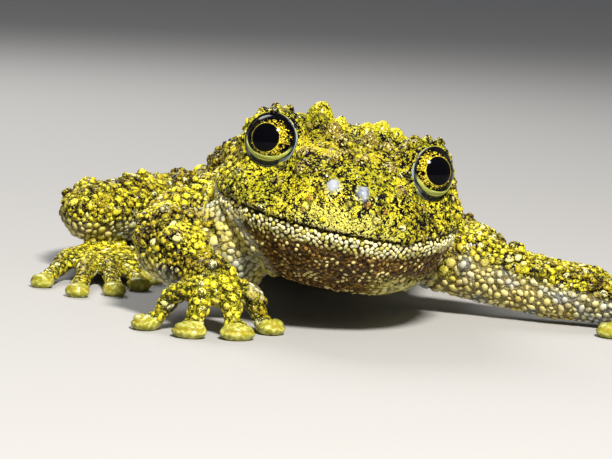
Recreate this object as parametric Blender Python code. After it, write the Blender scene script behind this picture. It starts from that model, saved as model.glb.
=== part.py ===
"""Vietnamese mossy frog at life size, a still model that rests on the pads of its fingers and toes.

The frog faces -Y and +X is its left side. Sizes and places are in millimetres from the point on
the floor under the middle of its trunk, and the whole model is centred on its box at the end.
"""

import math
import random

import bmesh
import bpy
import numpy as np
from mathutils import Matrix, Vector
from mathutils.bvhtree import BVHTree

MM = 0.001
GAP = 0.3
SLIVER = 0.005
SEED = 11

# Driving sizes of the frog
HEAD_WIDTH = 32.0
MOUTH_REACH = 20.0
EYE_RADIUS = 3.55
LID_OPENING = 3.3
LID_ROLL = 0.4
FINGER_DISC = 4.6
TOE_DISC = 3.5

# The head turns towards its right, nods a little and hangs lower on its left
JAW_HINGE = Vector((0.7, -13.0, 14.1))
HEAD_YAW, HEAD_NOD, HEAD_LEAN = math.radians(-5.5), math.radians(3.0), math.radians(9.0)

# Plan outlines of the head from throat to crown: height over the mouth, half width, reach forward
# and how full the curve is, from 1 for a straight-sided wedge to 2 for an ellipse and more for a box
HALF = HEAD_WIDTH / 2
HEAD_LEVELS = (
    (-9.2, 0.36 * HALF, 0.38 * MOUTH_REACH, 2.2),
    (-8.2, 0.60 * HALF, 0.62 * MOUTH_REACH, 2.2),
    (-6.6, 0.78 * HALF, 0.80 * MOUTH_REACH, 2.2),
    (-4.4, 0.90 * HALF, 0.91 * MOUTH_REACH, 2.2),
    (-2.2, 0.955 * HALF, 0.955 * MOUTH_REACH, 2.2),
    (-0.6, 0.99 * HALF, 0.985 * MOUTH_REACH, 2.2),
    (0.0, 0.965 * HALF, 0.965 * MOUTH_REACH, 2.2),
    (0.6, HALF, MOUTH_REACH, 2.2),
    (2.2, 0.995 * HALF, MOUTH_REACH, 2.1),
    (4.0, 0.96 * HALF, 0.97 * MOUTH_REACH, 1.9),
    (5.7, 0.91 * HALF, 0.90 * MOUTH_REACH, 1.8),
    (7.4, 0.83 * HALF, 0.76 * MOUTH_REACH, 1.8),
    (8.9, 0.70 * HALF, 0.56 * MOUTH_REACH, 1.9),
    (9.9, 0.50 * HALF, 0.34 * MOUTH_REACH, 2.0),
)
HEAD_BACK = 12.0
THROAT_POLE, CROWN_POLE = (0.0, 1.0, -9.6), (0.0, 2.0, 10.4)

# Eyes, in the head's own axes: the middle of each lid opening, and how far each looks outwards
EYE_OUT = {"right": 10.4, "left": 10.1}
EYE_FORWARD, EYE_UP = 9.5, 8.1
EYE_TURN = {"right": math.radians(-20.0), "left": math.radians(40.0)}
EYE_LIFT = math.radians(8.0)
ORBIT = (4.35, 4.45, 3.2)
FUNNEL_ANGLE = math.radians(48.0)
NOSTRIL_OUT, NOSTRIL_FORWARD, NOSTRIL_UP = 1.9, 17.6, 5.8
EAR_OUT, EAR_BACK, EAR_UP, EAR_RADIUS = 14.1, 0.6, 5.2, 1.9

# Trunk from neck to vent: middle (x, y, z), half width, half height
TRUNK = (
    (0.6, -15.0, 12.2, 10.8, 6.8),
    (0.4, -9.0, 12.6, 14.2, 8.2),
    (0.0, -2.0, 12.6, 15.8, 9.0),
    (-0.2, 6.0, 12.2, 16.8, 9.3),
    (-0.2, 14.0, 11.4, 17.3, 9.3),
    (0.0, 22.0, 10.4, 17.0, 8.8),
    (0.0, 30.0, 9.6, 14.4, 7.6),
    (0.0, 37.0, 8.8, 9.6, 5.6),
    (0.0, 42.0, 8.2, 4.6, 3.2),
)
TRUNK_LEAN = math.radians(5.0)

# Limbs: each station is (x, y, z, half width, half height), from root to tip
ARMS = {
    "right": {
        "upper_arm": (
            (-10.0, -4.0, 12.6, 4.8, 4.9),
            (-15.5, -6.4, 11.8, 4.6, 4.7),
            (-19.6, -9.6, 10.6, 4.3, 4.3),
            (-21.2, -12.4, 9.8, 3.9, 3.9),
        ),
        "forearm": (
            (-21.2, -12.4, 9.8, 3.9, 3.9),
            (-20.6, -16.4, 9.0, 4.8, 4.6),
            (-19.2, -20.8, 8.1, 4.3, 4.2),
            (-17.6, -24.8, 6.8, 2.9, 2.8),
        ),
        "palm": (
            (-17.6, -24.8, 6.8, 2.9, 2.8),
            (-16.2, -27.8, 6.0, 3.4, 2.3),
            (-15.6, -29.6, 5.2, 3.2, 1.9),
        ),
        "pads": ((-8.6, -29.4), (-13.0, -34.6), (-18.8, -34.4), (-24.0, -29.4)),
        "knuckle_rise": 1.6,
    },
    "left": {
        "upper_arm": (
            (11.0, -4.0, 8.6, 4.8, 4.8),
            (17.0, -6.2, 7.0, 4.4, 4.4),
            (22.6, -8.4, 5.5, 3.9, 3.9),
            (27.6, -10.6, 4.2, 3.4, 3.3),
        ),
        "forearm": (
            (27.6, -10.6, 4.2, 3.4, 3.3),
            (31.4, -12.0, 3.7, 3.5, 3.1),
            (35.6, -13.6, 3.1, 3.1, 2.6),
            (39.6, -15.6, 2.6, 2.5, 2.1),
        ),
        "palm": (
            (39.6, -15.6, 2.6, 2.5, 2.1),
            (41.4, -18.2, 2.5, 3.3, 1.9),
            (42.4, -20.2, 2.3, 3.2, 1.6),
        ),
        "pads": ((35.2, -22.0), (41.0, -29.6), (48.8, -28.6), (52.4, -20.6)),
        "knuckle_rise": 1.2,
    },
}
LEGS = {
    "right": {
        "thigh": (
            (-5.0, 37.0, 8.8, 4.5, 4.5),
            (-12.0, 33.4, 8.8, 4.8, 4.7),
            (-19.6, 28.0, 8.7, 4.6, 4.5),
            (-26.4, 22.8, 8.5, 4.2, 4.1),
            (-30.8, 19.4, 8.2, 3.8, 3.8),
        ),
        "shank": (
            (-30.8, 19.4, 8.2, 3.8, 3.8),
            (-31.2, 25.0, 7.8, 3.7, 3.6),
            (-28.2, 33.0, 6.9, 3.7, 3.5),
            (-22.8, 41.2, 5.2, 3.0, 3.0),
            (-17.0, 48.6, 3.4, 2.6, 2.6),
        ),
        "tarsus": (
            (-17.0, 48.6, 3.4, 2.6, 2.6),
            (-19.4, 43.8, 2.4, 2.4, 2.1),
            (-22.6, 37.0, 1.9, 2.3, 1.7),
            (-25.4, 30.8, 2.0, 2.5, 1.7),
        ),
        "sole": (
            (-25.4, 30.8, 2.0, 2.5, 1.7),
            (-27.0, 25.6, 2.1, 3.0, 1.6),
            (-28.2, 20.6, 2.3, 3.6, 1.6),
            (-28.6, 17.6, 2.3, 3.8, 1.5),
        ),
        "pads": ((-22.2, 8.4), (-24.2, 2.2), (-27.6, -3.4), (-32.4, -5.6), (-37.2, 1.6)),
        "knuckle_rise": 1.3,
    },
    "left": {
        "thigh": (
            (5.0, 37.0, 8.0, 4.4, 4.4),
            (10.4, 32.0, 7.0, 4.7, 4.6),
            (16.0, 24.8, 5.8, 4.5, 4.4),
            (19.4, 18.8, 4.7, 4.0, 3.9),
            (21.0, 14.4, 4.1, 3.5, 3.4),
        ),
        "shank": (
            (21.0, 14.4, 4.1, 3.5, 3.4),
            (24.0, 19.8, 4.4, 3.6, 3.5),
            (23.8, 28.0, 4.7, 3.6, 3.4),
            (20.2, 36.8, 4.3, 3.0, 2.9),
            (15.4, 45.0, 3.2, 2.6, 2.5),
        ),
        "tarsus": (
            (15.4, 45.0, 3.2, 2.6, 2.5),
            (19.6, 43.2, 2.3, 2.4, 2.1),
            (25.4, 38.6, 1.9, 2.3, 1.7),
            (29.8, 32.6, 2.0, 2.5, 1.7),
        ),
        "sole": (
            (29.8, 32.6, 2.0, 2.5, 1.7),
            (32.2, 28.2, 2.1, 3.0, 1.6),
            (33.8, 23.8, 2.3, 3.6, 1.6),
            (34.4, 21.2, 2.3, 3.8, 1.5),
        ),
        "pads": ((29.0, 13.6), (31.2, 7.4), (35.2, 2.8), (40.8, 2.2), (44.6, 9.2)),
        "knuckle_rise": 1.2,
    },
}
# How far the outer digits leave the middle of the palm or sole
KNUCKLES, TOE_ROOTS = 2.3, 2.9
# Loose skin of the right armpit, which fills the room between the folded arm and the jaw
ARMPIT, ARMPIT_RADII = (-13.6, -17.2, 8.6), (5.0, 6.4, 6.4)
DISC_THICKNESS = 1.9
WEB_THICKNESS = 0.8
WEB_SAG = 0.3
WEB_REACH = 0.74

# Large warts of the crown and lids in the head's own axes: (right or left, forward, radius)
CROWN_WARTS = (
    (-4.9, 3.6, 1.9),
    (-7.6, 4.6, 1.2),
    (-2.0, 3.4, 1.1),
    (1.2, 3.0, 1.1),
    (3.4, 2.0, 1.3),
    (5.4, 3.6, 1.1),
    (-7.6, 1.2, 1.2),
    (7.9, 3.9, 0.8),
    (-9.0, 4.6, 0.8),
    (-2.9, 6.6, 1.0),
    (-1.3, 9.4, 0.8),
    (1.8, 7.6, 0.8),
    (-5.8, 12.2, 0.8),
    (-1.9, 14.2, 0.75),
    (1.6, 13.4, 0.75),
    (-6.4, 14.8, 0.9),
    (5.4, 12.8, 0.8),
)
# Scattered warts: node, how many, smallest and largest radius, least upward lean of the skin there
SCATTERED_WARTS = (
    ("head", 10, 0.8, 1.1, 0.1),
    ("torso", 34, 1.1, 2.1, 0.15),
    ("upper_arm_right", 4, 0.9, 1.3, 0.2),
    ("upper_arm_left", 4, 0.9, 1.3, 0.2),
    ("forearm_right", 4, 0.9, 1.2, 0.1),
    ("forearm_left", 4, 0.9, 1.2, 0.1),
    ("thigh_right", 5, 0.9, 1.4, 0.2),
    ("thigh_left", 4, 0.9, 1.4, 0.2),
    ("shank_right", 5, 0.9, 1.3, 0.1),
    ("shank_left", 5, 0.9, 1.3, 0.1),
)
WART_HEIGHT = 0.95
WART_SPACING = 2.1
WART_CLEARANCE = 0.9

COLOURS = {
    "skin": ((0.52, 0.50, 0.06, 1.0), 0.55),
    "throat": ((0.46, 0.43, 0.28, 1.0), 0.5),
    "eye": ((0.55, 0.42, 0.04, 1.0), 0.08),
    "pads": ((0.50, 0.52, 0.10, 1.0), 0.35),
}


def head_matrix():
    """From the head's own axes, with its origin between the jaw corners, to the frog's."""
    turn = Matrix.Rotation(HEAD_YAW, 4, "Z")
    nod = Matrix.Rotation(HEAD_NOD, 4, "X")
    lean = Matrix.Rotation(HEAD_LEAN, 4, "Y")
    return Matrix.Translation(JAW_HINGE) @ turn @ nod @ lean


HEAD = head_matrix()


def clear_scene():
    for obj in list(bpy.data.objects):
        bpy.data.objects.remove(obj, do_unlink=True)


def collection(name):
    made = bpy.data.collections.new(name)
    bpy.context.scene.collection.children.link(made)
    return made


def material(name):
    colour, roughness = COLOURS[name]
    made = bpy.data.materials.get(name)
    if made is None:
        made = bpy.data.materials.new(name)
        made.use_nodes = True
        shader = made.node_tree.nodes["Principled BSDF"]
        shader.inputs["Base Color"].default_value = colour
        shader.inputs["Roughness"].default_value = roughness
        shader.inputs["Metallic"].default_value = 0.0
    made.diffuse_color = colour
    return made


def solid(name, points, faces, home):
    """An object from points in millimetres, with its faces turned outwards."""
    mesh = bpy.data.meshes.new(name)
    mesh.from_pydata((np.asarray(points, float) * MM).tolist(), [], faces)
    shape = bmesh.new()
    shape.from_mesh(mesh)
    bmesh.ops.recalc_face_normals(shape, faces=shape.faces)
    shape.to_mesh(mesh)
    shape.free()
    obj = bpy.data.objects.new(name, mesh)
    home.objects.link(obj)
    return obj


def loft(name, rings, first_pole, last_pole, home):
    """A closed skin through rings of equal count, closed by a fan at each end."""
    rings = np.asarray(rings, float)
    count, around = rings.shape[:2]
    points = np.vstack([rings.reshape(-1, 3), [first_pole], [last_pole]])
    step = np.arange(around)
    following = (step + 1) % around
    faces = []
    for level in range(count - 1):
        low, high = level * around, (level + 1) * around
        faces += [
            (low + a, low + b, high + b, high + a)
            for a, b in zip(step.tolist(), following.tolist())
        ]
    first, last = count * around, count * around + 1
    faces += [(first, b, a) for a, b in zip(step.tolist(), following.tolist())]
    top = (count - 1) * around
    faces += [(last, top + a, top + b) for a, b in zip(step.tolist(), following.tolist())]
    return solid(name, points, faces, home)


def smooth_path(stations, samples):
    """Catmull-Rom through the stations, evenly in its parameter."""
    knots = np.asarray(stations, float)
    knots = np.vstack([2 * knots[0] - knots[1], knots, 2 * knots[-1] - knots[-2]])
    at = np.linspace(0, len(stations) - 1, samples)
    span = np.minimum(at.astype(int), len(stations) - 2)
    t = (at - span)[:, None]
    a, b, c, d = (knots[span + k] for k in range(4))
    return 0.5 * (
        2 * b + (c - a) * t + (2 * a - 5 * b + 4 * c - d) * t**2 + (3 * b - a - 3 * c + d) * t**3
    )


def limb(name, stations, home, samples=7, around=12, grow=0.0, lean=0.0):
    """A tube of oval sections along the stations, with round ends."""
    path = smooth_path(stations, samples)
    middle, half = path[:, :3], path[:, 3:5] + grow
    along = np.gradient(middle, axis=0)
    along /= np.linalg.norm(along, axis=1)[:, None]
    side = np.cross(along, (math.sin(lean), 0.0, math.cos(lean)))
    side /= np.linalg.norm(side, axis=1)[:, None]
    up = np.cross(side, along)
    ends = [(k, 0.0, 1.0) for k in range(samples)]
    ends = [(0, -0.75, 0.62), *ends, (samples - 1, 0.75, 0.62)]
    angle = np.linspace(0, 2 * math.pi, around, endpoint=False)[:, None]
    rings = []
    for k, shift, scale in ends:
        centre = middle[k] + along[k] * shift * half[k].min()
        rings.append(
            centre
            + scale * half[k, 0] * np.cos(angle) * side[k]
            + scale * half[k, 1] * np.sin(angle) * up[k]
        )
    first = middle[0] - along[0] * half[0].min()
    last = middle[-1] + along[-1] * half[-1].min()
    return loft(name, rings, first, last, home)


def ellipsoid(name, matrix, radii, home, segments=16, rings=10):
    """An ellipsoid with its radii along the matrix's axes, in millimetres."""
    shape = bmesh.new()
    scale = Matrix.Diagonal((*radii, 1.0))
    bmesh.ops.create_uvsphere(
        shape, u_segments=segments, v_segments=rings, radius=1.0, matrix=matrix @ scale
    )
    mesh = bpy.data.meshes.new(name)
    bmesh.ops.scale(shape, vec=(MM, MM, MM), verts=shape.verts)
    bmesh.ops.recalc_face_normals(shape, faces=shape.faces)
    shape.to_mesh(mesh)
    shape.free()
    obj = bpy.data.objects.new(name, mesh)
    home.objects.link(obj)
    return obj


def block(name, low, high, matrix, home):
    """A box between two corners in the matrix's axes, in millimetres."""
    shape = bmesh.new()
    size = [b - a for a, b in zip(low, high)]
    middle = [(a + b) / 2 for a, b in zip(low, high)]
    place = matrix @ Matrix.Translation(middle) @ Matrix.Diagonal((*size, 1.0))
    bmesh.ops.create_cube(shape, size=1.0, matrix=place)
    bmesh.ops.scale(shape, vec=(MM, MM, MM), verts=shape.verts)
    mesh = bpy.data.meshes.new(name)
    shape.to_mesh(mesh)
    shape.free()
    obj = bpy.data.objects.new(name, mesh)
    home.objects.link(obj)
    obj.hide_render = True
    obj.display_type = "WIRE"
    return obj


def ring(name, matrix, radius, thickness, home, major=18, minor=6):
    """A torus round the matrix's Z axis."""
    turn = np.linspace(0, 2 * math.pi, major, endpoint=False)
    swing = np.linspace(0, 2 * math.pi, minor, endpoint=False)
    turn, swing = (a.ravel() for a in np.meshgrid(turn, swing, indexing="ij"))
    reach = radius + thickness * np.cos(swing)
    points = np.stack(
        [reach * np.cos(turn), reach * np.sin(turn), thickness * np.sin(swing)], axis=1
    )
    faces = [
        (
            i * minor + j,
            (i + 1) % major * minor + j,
            (i + 1) % major * minor + (j + 1) % minor,
            i * minor + (j + 1) % minor,
        )
        for i in range(major)
        for j in range(minor)
    ]
    placed = [matrix @ Vector(p) for p in points]
    return solid(name, [tuple(p) for p in placed], faces, home)


def settle(obj):
    """Replaces the object's mesh by what its modifiers make of it."""
    graph = bpy.context.evaluated_depsgraph_get()
    mesh = bpy.data.meshes.new_from_object(obj.evaluated_get(graph))
    obj.modifiers.clear()
    old = obj.data
    obj.data = mesh
    bpy.data.meshes.remove(old)


def keep_largest(obj):
    """Drops every closed surface but the one round the most room."""
    shape = bmesh.new()
    shape.from_mesh(obj.data)
    shape.faces.ensure_lookup_table()
    seen, bodies = set(), []
    for start in shape.faces:
        if start.index in seen:
            continue
        seen.add(start.index)
        body, queue = [], [start]
        while queue:
            face = queue.pop()
            body.append(face)
            for edge in face.edges:
                for near in edge.link_faces:
                    if near.index not in seen:
                        seen.add(near.index)
                        queue.append(near)
        bodies.append(body)

    def room(body):
        total = 0.0
        for face in body:
            a = face.verts[0].co
            for b, c in zip(face.verts[1:-1], face.verts[2:]):
                total += a.dot(b.co.cross(c.co))
        return total

    bodies.sort(key=room, reverse=True)
    spare = [face for body in bodies[1:] for face in body]
    bmesh.ops.delete(shape, geom=spare, context="FACES")
    bmesh.ops.triangulate(shape, faces=shape.faces)
    shape.to_mesh(obj.data)
    shape.free()


def join(obj, pieces):
    """Unites closed pieces with the object, and removes them."""
    group = collection("joined")
    for piece in pieces:
        for home in list(piece.users_collection):
            home.objects.unlink(piece)
        group.objects.link(piece)
    step = obj.modifiers.new("join", "BOOLEAN")
    step.operation = "UNION"
    step.operand_type = "COLLECTION"
    step.collection = group
    step.solver = "MANIFOLD"
    settle(obj)
    for piece in pieces:
        bpy.data.objects.remove(piece, do_unlink=True)
    bpy.data.collections.remove(group)
    keep_largest(obj)


def cut(obj, cutters):
    """Takes closed cutters away from the object, and removes them."""
    for cutter in cutters:
        cutter.hide_render = True
        cutter.display_type = "WIRE"
        step = obj.modifiers.new("cut", "BOOLEAN")
        step.operation = "DIFFERENCE"
        step.object = cutter
        step.solver = "MANIFOLD"
        settle(obj)
        bpy.data.objects.remove(cutter, do_unlink=True)
    keep_largest(obj)


def outline(level, half_width, forward, fullness, around=32, grow=0.0):
    """One plan outline of the head: a superellipse, shallower behind the jaw than before it."""
    power = 2 / fullness
    t = np.linspace(0, 2 * math.pi, around, endpoint=False)
    across, ahead = np.sin(t), np.cos(t)
    x = (half_width + grow) * np.sign(across) * np.abs(across) ** power
    reach = np.where(ahead > 0, forward + grow, HEAD_BACK * min(1.0, forward / 14.0) + grow)
    y = -reach * np.sign(ahead) * np.abs(ahead) ** power
    return np.stack([x, y, np.full(around, level)], axis=1)


def in_head(points):
    """Points of the head's own axes, in the frog's."""
    turn = np.array(HEAD.to_3x3())
    return np.asarray(points, float) @ turn.T + np.array(HEAD.translation)


def head_loft(name, home, grow=0.0):
    rings = [in_head(outline(*level, grow=grow)) for level in HEAD_LEVELS]
    low = Vector(THROAT_POLE) - Vector((0, 0, grow))
    high = Vector(CROWN_POLE) + Vector((0, 0, grow))
    return loft(name, rings, in_head([low])[0], in_head([high])[0], home)


def eye_matrix(side):
    """Axes of one eye, from the middle of its lid opening: Z looks out of the eye."""
    sign = {"right": -1, "left": 1}[side]
    place = Matrix.Translation((sign * EYE_OUT[side], -EYE_FORWARD, EYE_UP))
    facing = Matrix.Rotation(EYE_TURN[side], 4, "Z") @ Matrix.Rotation(
        math.radians(90) - EYE_LIFT, 4, "X"
    )
    return HEAD @ place @ facing


def eye_centre(side):
    """The eyeball's centre lies behind the opening, so that the ball just fills the lids."""
    depth = math.sqrt(EYE_RADIUS**2 - LID_OPENING**2)
    return eye_matrix(side) @ Matrix.Translation((0, 0, -depth))


def make_eye(side, home):
    eye = ellipsoid(f"eye_{side}", eye_centre(side), [EYE_RADIUS] * 3, home, 18, 10)
    eye.data.materials.append(material("eye"))


def lid_funnel(side, home):
    """The room before an eye, so that no cheek stands in its view."""
    shape = bmesh.new()
    depth = 8.0
    place = eye_matrix(side) @ Matrix.Translation((0, 0, depth / 2))
    wide = LID_OPENING + depth * math.tan(FUNNEL_ANGLE)
    bmesh.ops.create_cone(
        shape,
        cap_ends=True,
        segments=16,
        radius1=LID_OPENING,
        radius2=wide,
        depth=depth,
        matrix=place,
    )
    bmesh.ops.scale(shape, vec=(MM, MM, MM), verts=shape.verts)
    mesh = bpy.data.meshes.new("funnel")
    shape.to_mesh(mesh)
    shape.free()
    obj = bpy.data.objects.new(f"funnel_{side}", mesh)
    home.objects.link(obj)
    return obj


def make_head(home):
    """The head above the mouth line, with its orbits, lids, nostrils and ears but not its sockets."""
    head = head_loft("head", home)
    sides = ("right", "left")
    join(head, [ellipsoid(f"orbit_{side}", eye_centre(side), ORBIT, home) for side in sides])
    cut(head, [lid_funnel(side, home) for side in sides])
    extras = []
    for side, sign in (("right", -1), ("left", 1)):
        extras.append(ring(f"lid_{side}", eye_matrix(side), LID_OPENING + LID_ROLL, LID_ROLL, home))
        nostril = HEAD @ Matrix.Translation((sign * NOSTRIL_OUT, -NOSTRIL_FORWARD, NOSTRIL_UP))
        extras.append(ellipsoid(f"nostril_{side}", nostril, (0.8, 0.9, 0.9), home, 8, 6))
        ear = HEAD @ Matrix.Translation((sign * EAR_OUT, EAR_BACK, EAR_UP))
        ear = ear @ Matrix.Rotation(sign * math.radians(80), 4, "Y")
        extras.append(ring(f"ear_{side}", ear, EAR_RADIUS, 0.55, home, 14, 6))
    join(head, extras)
    cut(head, [block("below_mouth", (-30, -40, -30), (30, 40, GAP / 2), HEAD, home)])
    head.data.materials.append(material("skin"))
    return head


def open_sockets(head, home):
    """Makes the room for the eyes, clear of them all round."""
    sockets = [
        ellipsoid(f"socket_{side}", eye_centre(side), [EYE_RADIUS + GAP] * 3, home, 18, 10)
        for side in ("right", "left")
    ]
    cut(head, sockets)


def make_jaw(home):
    """The lower jaw and throat, under the mouth line."""
    jaw = head_loft("jaw", home)
    cut(jaw, [block("above_mouth", (-30, -40, -GAP / 2), (30, 40, 30), HEAD, home)])
    jaw.data.materials.append(material("throat"))


def trunk_loft(name, home, grow=0.0):
    return limb(name, TRUNK, home, samples=14, around=24, grow=grow, lean=-TRUNK_LEAN)


def make_torso(home):
    torso = trunk_loft("torso", home)
    cut(torso, [head_loft("neck_room", home, GAP)])
    torso.data.materials.append(material("skin"))


def armpit(name, home, grow=0.0):
    place = Matrix.Translation(ARMPIT)
    return ellipsoid(name, place, [r + grow for r in ARMPIT_RADII], home, 20, 12)


def segment(name, stations, neighbours, home, samples=7, folds=()):
    """One length of a limb with its folds of skin, cut clear of the neighbours it grows from."""
    part = limb(name, stations, home, samples)
    if folds:
        join(part, folds)
    cut(part, neighbours)
    part.data.materials.append(material("skin"))


def digit(name, root, pad, rise, width, home):
    """A finger or toe: a slim tube from the palm that arches down to a broad oval disc."""
    root, tip = np.array(root), np.array([*pad, 1.0])
    reach = tip - root
    stations = [
        (*root, 1.4, 1.2),
        (*(root + 0.45 * reach + (0, 0, rise)), 1.2, 1.15),
        (*(root + 0.8 * reach + (0, 0, 0.5 * rise)), 1.1, 1.05),
        (*tip, 1.05, 0.8),
    ]
    stem = limb(name, stations, home, samples=5, around=6)
    heading = math.atan2(reach[1], reach[0])
    place = Matrix.Translation((pad[0], pad[1], 0.42 * DISC_THICKNESS))
    place = place @ Matrix.Rotation(heading, 4, "Z")
    disc = ellipsoid(
        name + "_disc", place, (0.42 * width, 0.5 * width, 0.55 * DISC_THICKNESS), home, 10, 6
    )
    return [stem, disc]


def digit_roots(palm, count, spread):
    """Where the digits leave the palm: evenly across its last section."""
    end, before = np.array(palm[-1][:3]), np.array(palm[-2][:3])
    along = (end - before) / np.linalg.norm(end - before)
    side = np.cross(along, (0, 0, 1))
    side /= np.linalg.norm(side)
    return [end + side * spread * (2 * k / (count - 1) - 1) for k in range(count)]


def web(name, roots, pads, rise, home, steps=2, along=4):
    """The skin between toes: a thin curved sheet whose free edge sags back between two toes."""
    roots = np.asarray(roots, float)
    tips = np.array([[*pad, 1.0] for pad in pads])
    across = np.linspace(0, len(roots) - 1, (len(roots) - 1) * steps + 1)
    toe = np.minimum(across.astype(int), len(roots) - 2)
    t = (across - toe)[:, None]
    root = roots[toe] * (1 - t) + roots[toe + 1] * t
    tip = tips[toe] * (1 - t) + tips[toe + 1] * t
    sag = 1 - WEB_SAG * 4 * t * (1 - t)
    v = np.linspace(-0.05, WEB_REACH, along)[None, :, None]
    grid = root[:, None] + (tip - root)[:, None] * v * sag[:, None]
    grid[..., 2] += rise * np.sin(math.pi * np.clip(v[..., 0] / 0.95, 0, 1)) - 0.3
    wide, long = grid.shape[:2]
    half = np.array([0, 0, WEB_THICKNESS / 2])
    top, bottom = (grid + half).reshape(-1, 3), (grid - half).reshape(-1, 3)
    points = np.vstack([top, bottom])
    under = wide * long
    faces = []
    for i in range(wide - 1):
        for j in range(long - 1):
            a, b = i * long + j, (i + 1) * long + j
            faces += [(a, b, b + 1), (a, b + 1, a + 1)]
            faces += [(under + a, under + b + 1, under + b)]
            faces += [(under + a, under + a + 1, under + b + 1)]
    rim = [i * long for i in range(wide)]
    rim += [(wide - 1) * long + j for j in range(1, long)]
    rim += [i * long + long - 1 for i in range(wide - 2, -1, -1)]
    rim += [j for j in range(long - 2, 0, -1)]
    for a, b in zip(rim, rim[1:] + rim[:1]):
        faces += [(a, under + a, under + b), (a, under + b, b)]
    return solid(name, points, faces, home)


def wart(name, spot, normal, radius, home, sides=6):
    """A blunt tubercle along the skin's normal, whose root is sunk as deep as it stands out."""
    height = WART_HEIGHT * radius
    up = Vector(normal)
    place = Matrix.Translation(Vector(spot)) @ up.to_track_quat("Z", "Y").to_matrix().to_4x4()
    turn = np.linspace(0, 2 * math.pi, sides, endpoint=False)
    levels = ((-height, 0.8), (0.1 * height, 1.0), (0.75 * height, 0.6))
    rings = [
        [
            tuple(place @ Vector((k * radius * math.cos(a), k * radius * math.sin(a), z)))
            for a in turn
        ]
        for z, k in levels
    ]
    low, high = (place @ Vector((0, 0, z)) for z in (-1.1 * height, height))
    return loft(name, rings, tuple(low), tuple(high), home)


def skin_tree(objects):
    """One search tree over the faces of several objects, in millimetres."""
    points, faces = [], []
    for obj in objects:
        start = len(points)
        points += [v.co / MM for v in obj.data.vertices]
        faces += [[start + i for i in face.vertices] for face in obj.data.polygons]
    return BVHTree.FromPolygons(points, faces)


def crown_spots(tree):
    """The head's named warts, dropped on the skin along the head's own vertical."""
    down = -(HEAD.to_3x3() @ Vector((0, 0, 1)))
    for across, forward, radius in CROWN_WARTS:
        start = HEAD @ Vector((across, -forward, 20.0))
        spot, normal, _, _ = tree.ray_cast(start, down)
        yield spot, normal, radius


def scattered_spots(obj, taken, neighbours, count, smallest, largest, least_up, draw):
    """Seeded spots on the upper skin, spaced by their size and clear of the neighbours."""
    mesh = obj.data
    areas = np.array([face.area for face in mesh.polygons])
    reach = np.cumsum(areas) / areas.sum()
    spots = []
    tries = 0
    while len(spots) < count and tries < 4000:
        tries += 1
        face = mesh.polygons[int(np.searchsorted(reach, draw.random()))]
        weights = np.array([draw.random() for _ in face.vertices])
        corners = np.array([mesh.vertices[i].co for i in face.vertices]) / MM
        spot = Vector(weights @ corners / weights.sum())
        radius = smallest + (largest - smallest) * draw.random() ** 1.6
        if face.normal.z < least_up:
            continue
        near = neighbours.find_nearest(spot)
        if near[3] < radius + WART_CLEARANCE:
            continue
        if any((spot - s).length < WART_SPACING / 2 * (radius + r) for s, _, r in taken + spots):
            continue
        spots.append((spot, face.normal.copy(), radius))
    return spots


def add_warts(parts):
    """Sets the warts of every node that has them on its skin, and fuses them with it."""
    draw = random.Random(SEED)
    meshes = [obj for obj in parts.objects if obj.type == "MESH"]
    for node, count, smallest, largest, least_up in SCATTERED_WARTS:
        obj = parts.objects[node]
        neighbours = skin_tree([other for other in meshes if other is not obj])
        spots = list(crown_spots(skin_tree([obj]))) if node == "head" else []
        spots += scattered_spots(
            obj, spots, neighbours, count, smallest, largest, least_up, draw
        )
        pieces = [
            wart(f"{node}_wart_{k}", spot, normal, radius, parts, 6 if radius > 1.0 else 5)
            for k, (spot, normal, radius) in enumerate(spots)
        ]
        join(obj, pieces)


def floor_block(home):
    return block("floor", (-120, -120, -20), (120, 120, 0), Matrix.Identity(4), home)


def make_extremity(name, palm_key, limb_sizes, neighbours, disc, spread, home):
    """A hand or foot: palm or sole, its digits with their discs, and the web of a foot."""
    palm = limb_sizes[palm_key]
    pads, rise = limb_sizes["pads"], limb_sizes["knuckle_rise"]
    body = limb(name, palm, home, samples=5, around=10)
    roots = digit_roots(palm, len(pads), spread)
    if (roots[0] - roots[-1]) @ (np.array([*pads[0], 0]) - np.array([*pads[-1], 0])) < 0:
        roots.reverse()
    pieces = []
    for k, (root, pad) in enumerate(zip(roots, pads)):
        pieces += digit(f"{name}_digit_{k + 1}", root, pad, rise, disc, home)
    if palm_key == "sole":
        pieces.append(web(f"{name}_web", roots, pads, rise, home))
    join(body, pieces)
    cut(body, [*neighbours, floor_block(home)])
    body.data.materials.append(material("pads"))


def make_arm(side, home):
    sizes = ARMS[side]
    rooms = [trunk_loft("trunk_room", home, GAP), head_loft("head_room", home, GAP)]
    segment(f"upper_arm_{side}", sizes["upper_arm"], rooms, home)
    folds = [armpit("armpit", home)] if side == "right" else []
    rooms = [
        limb("elbow_room", sizes["upper_arm"], home, grow=GAP),
        head_loft("head_room", home, GAP),
        trunk_loft("trunk_room", home, GAP),
    ]
    segment(f"forearm_{side}", sizes["forearm"], rooms, home, folds=folds)
    rooms = [limb("wrist_room", sizes["forearm"], home, grow=GAP)]
    if side == "right":
        rooms.append(armpit("armpit_room", home, GAP))
    make_extremity(f"hand_{side}", "palm", sizes, rooms, FINGER_DISC, KNUCKLES, home)


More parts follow.
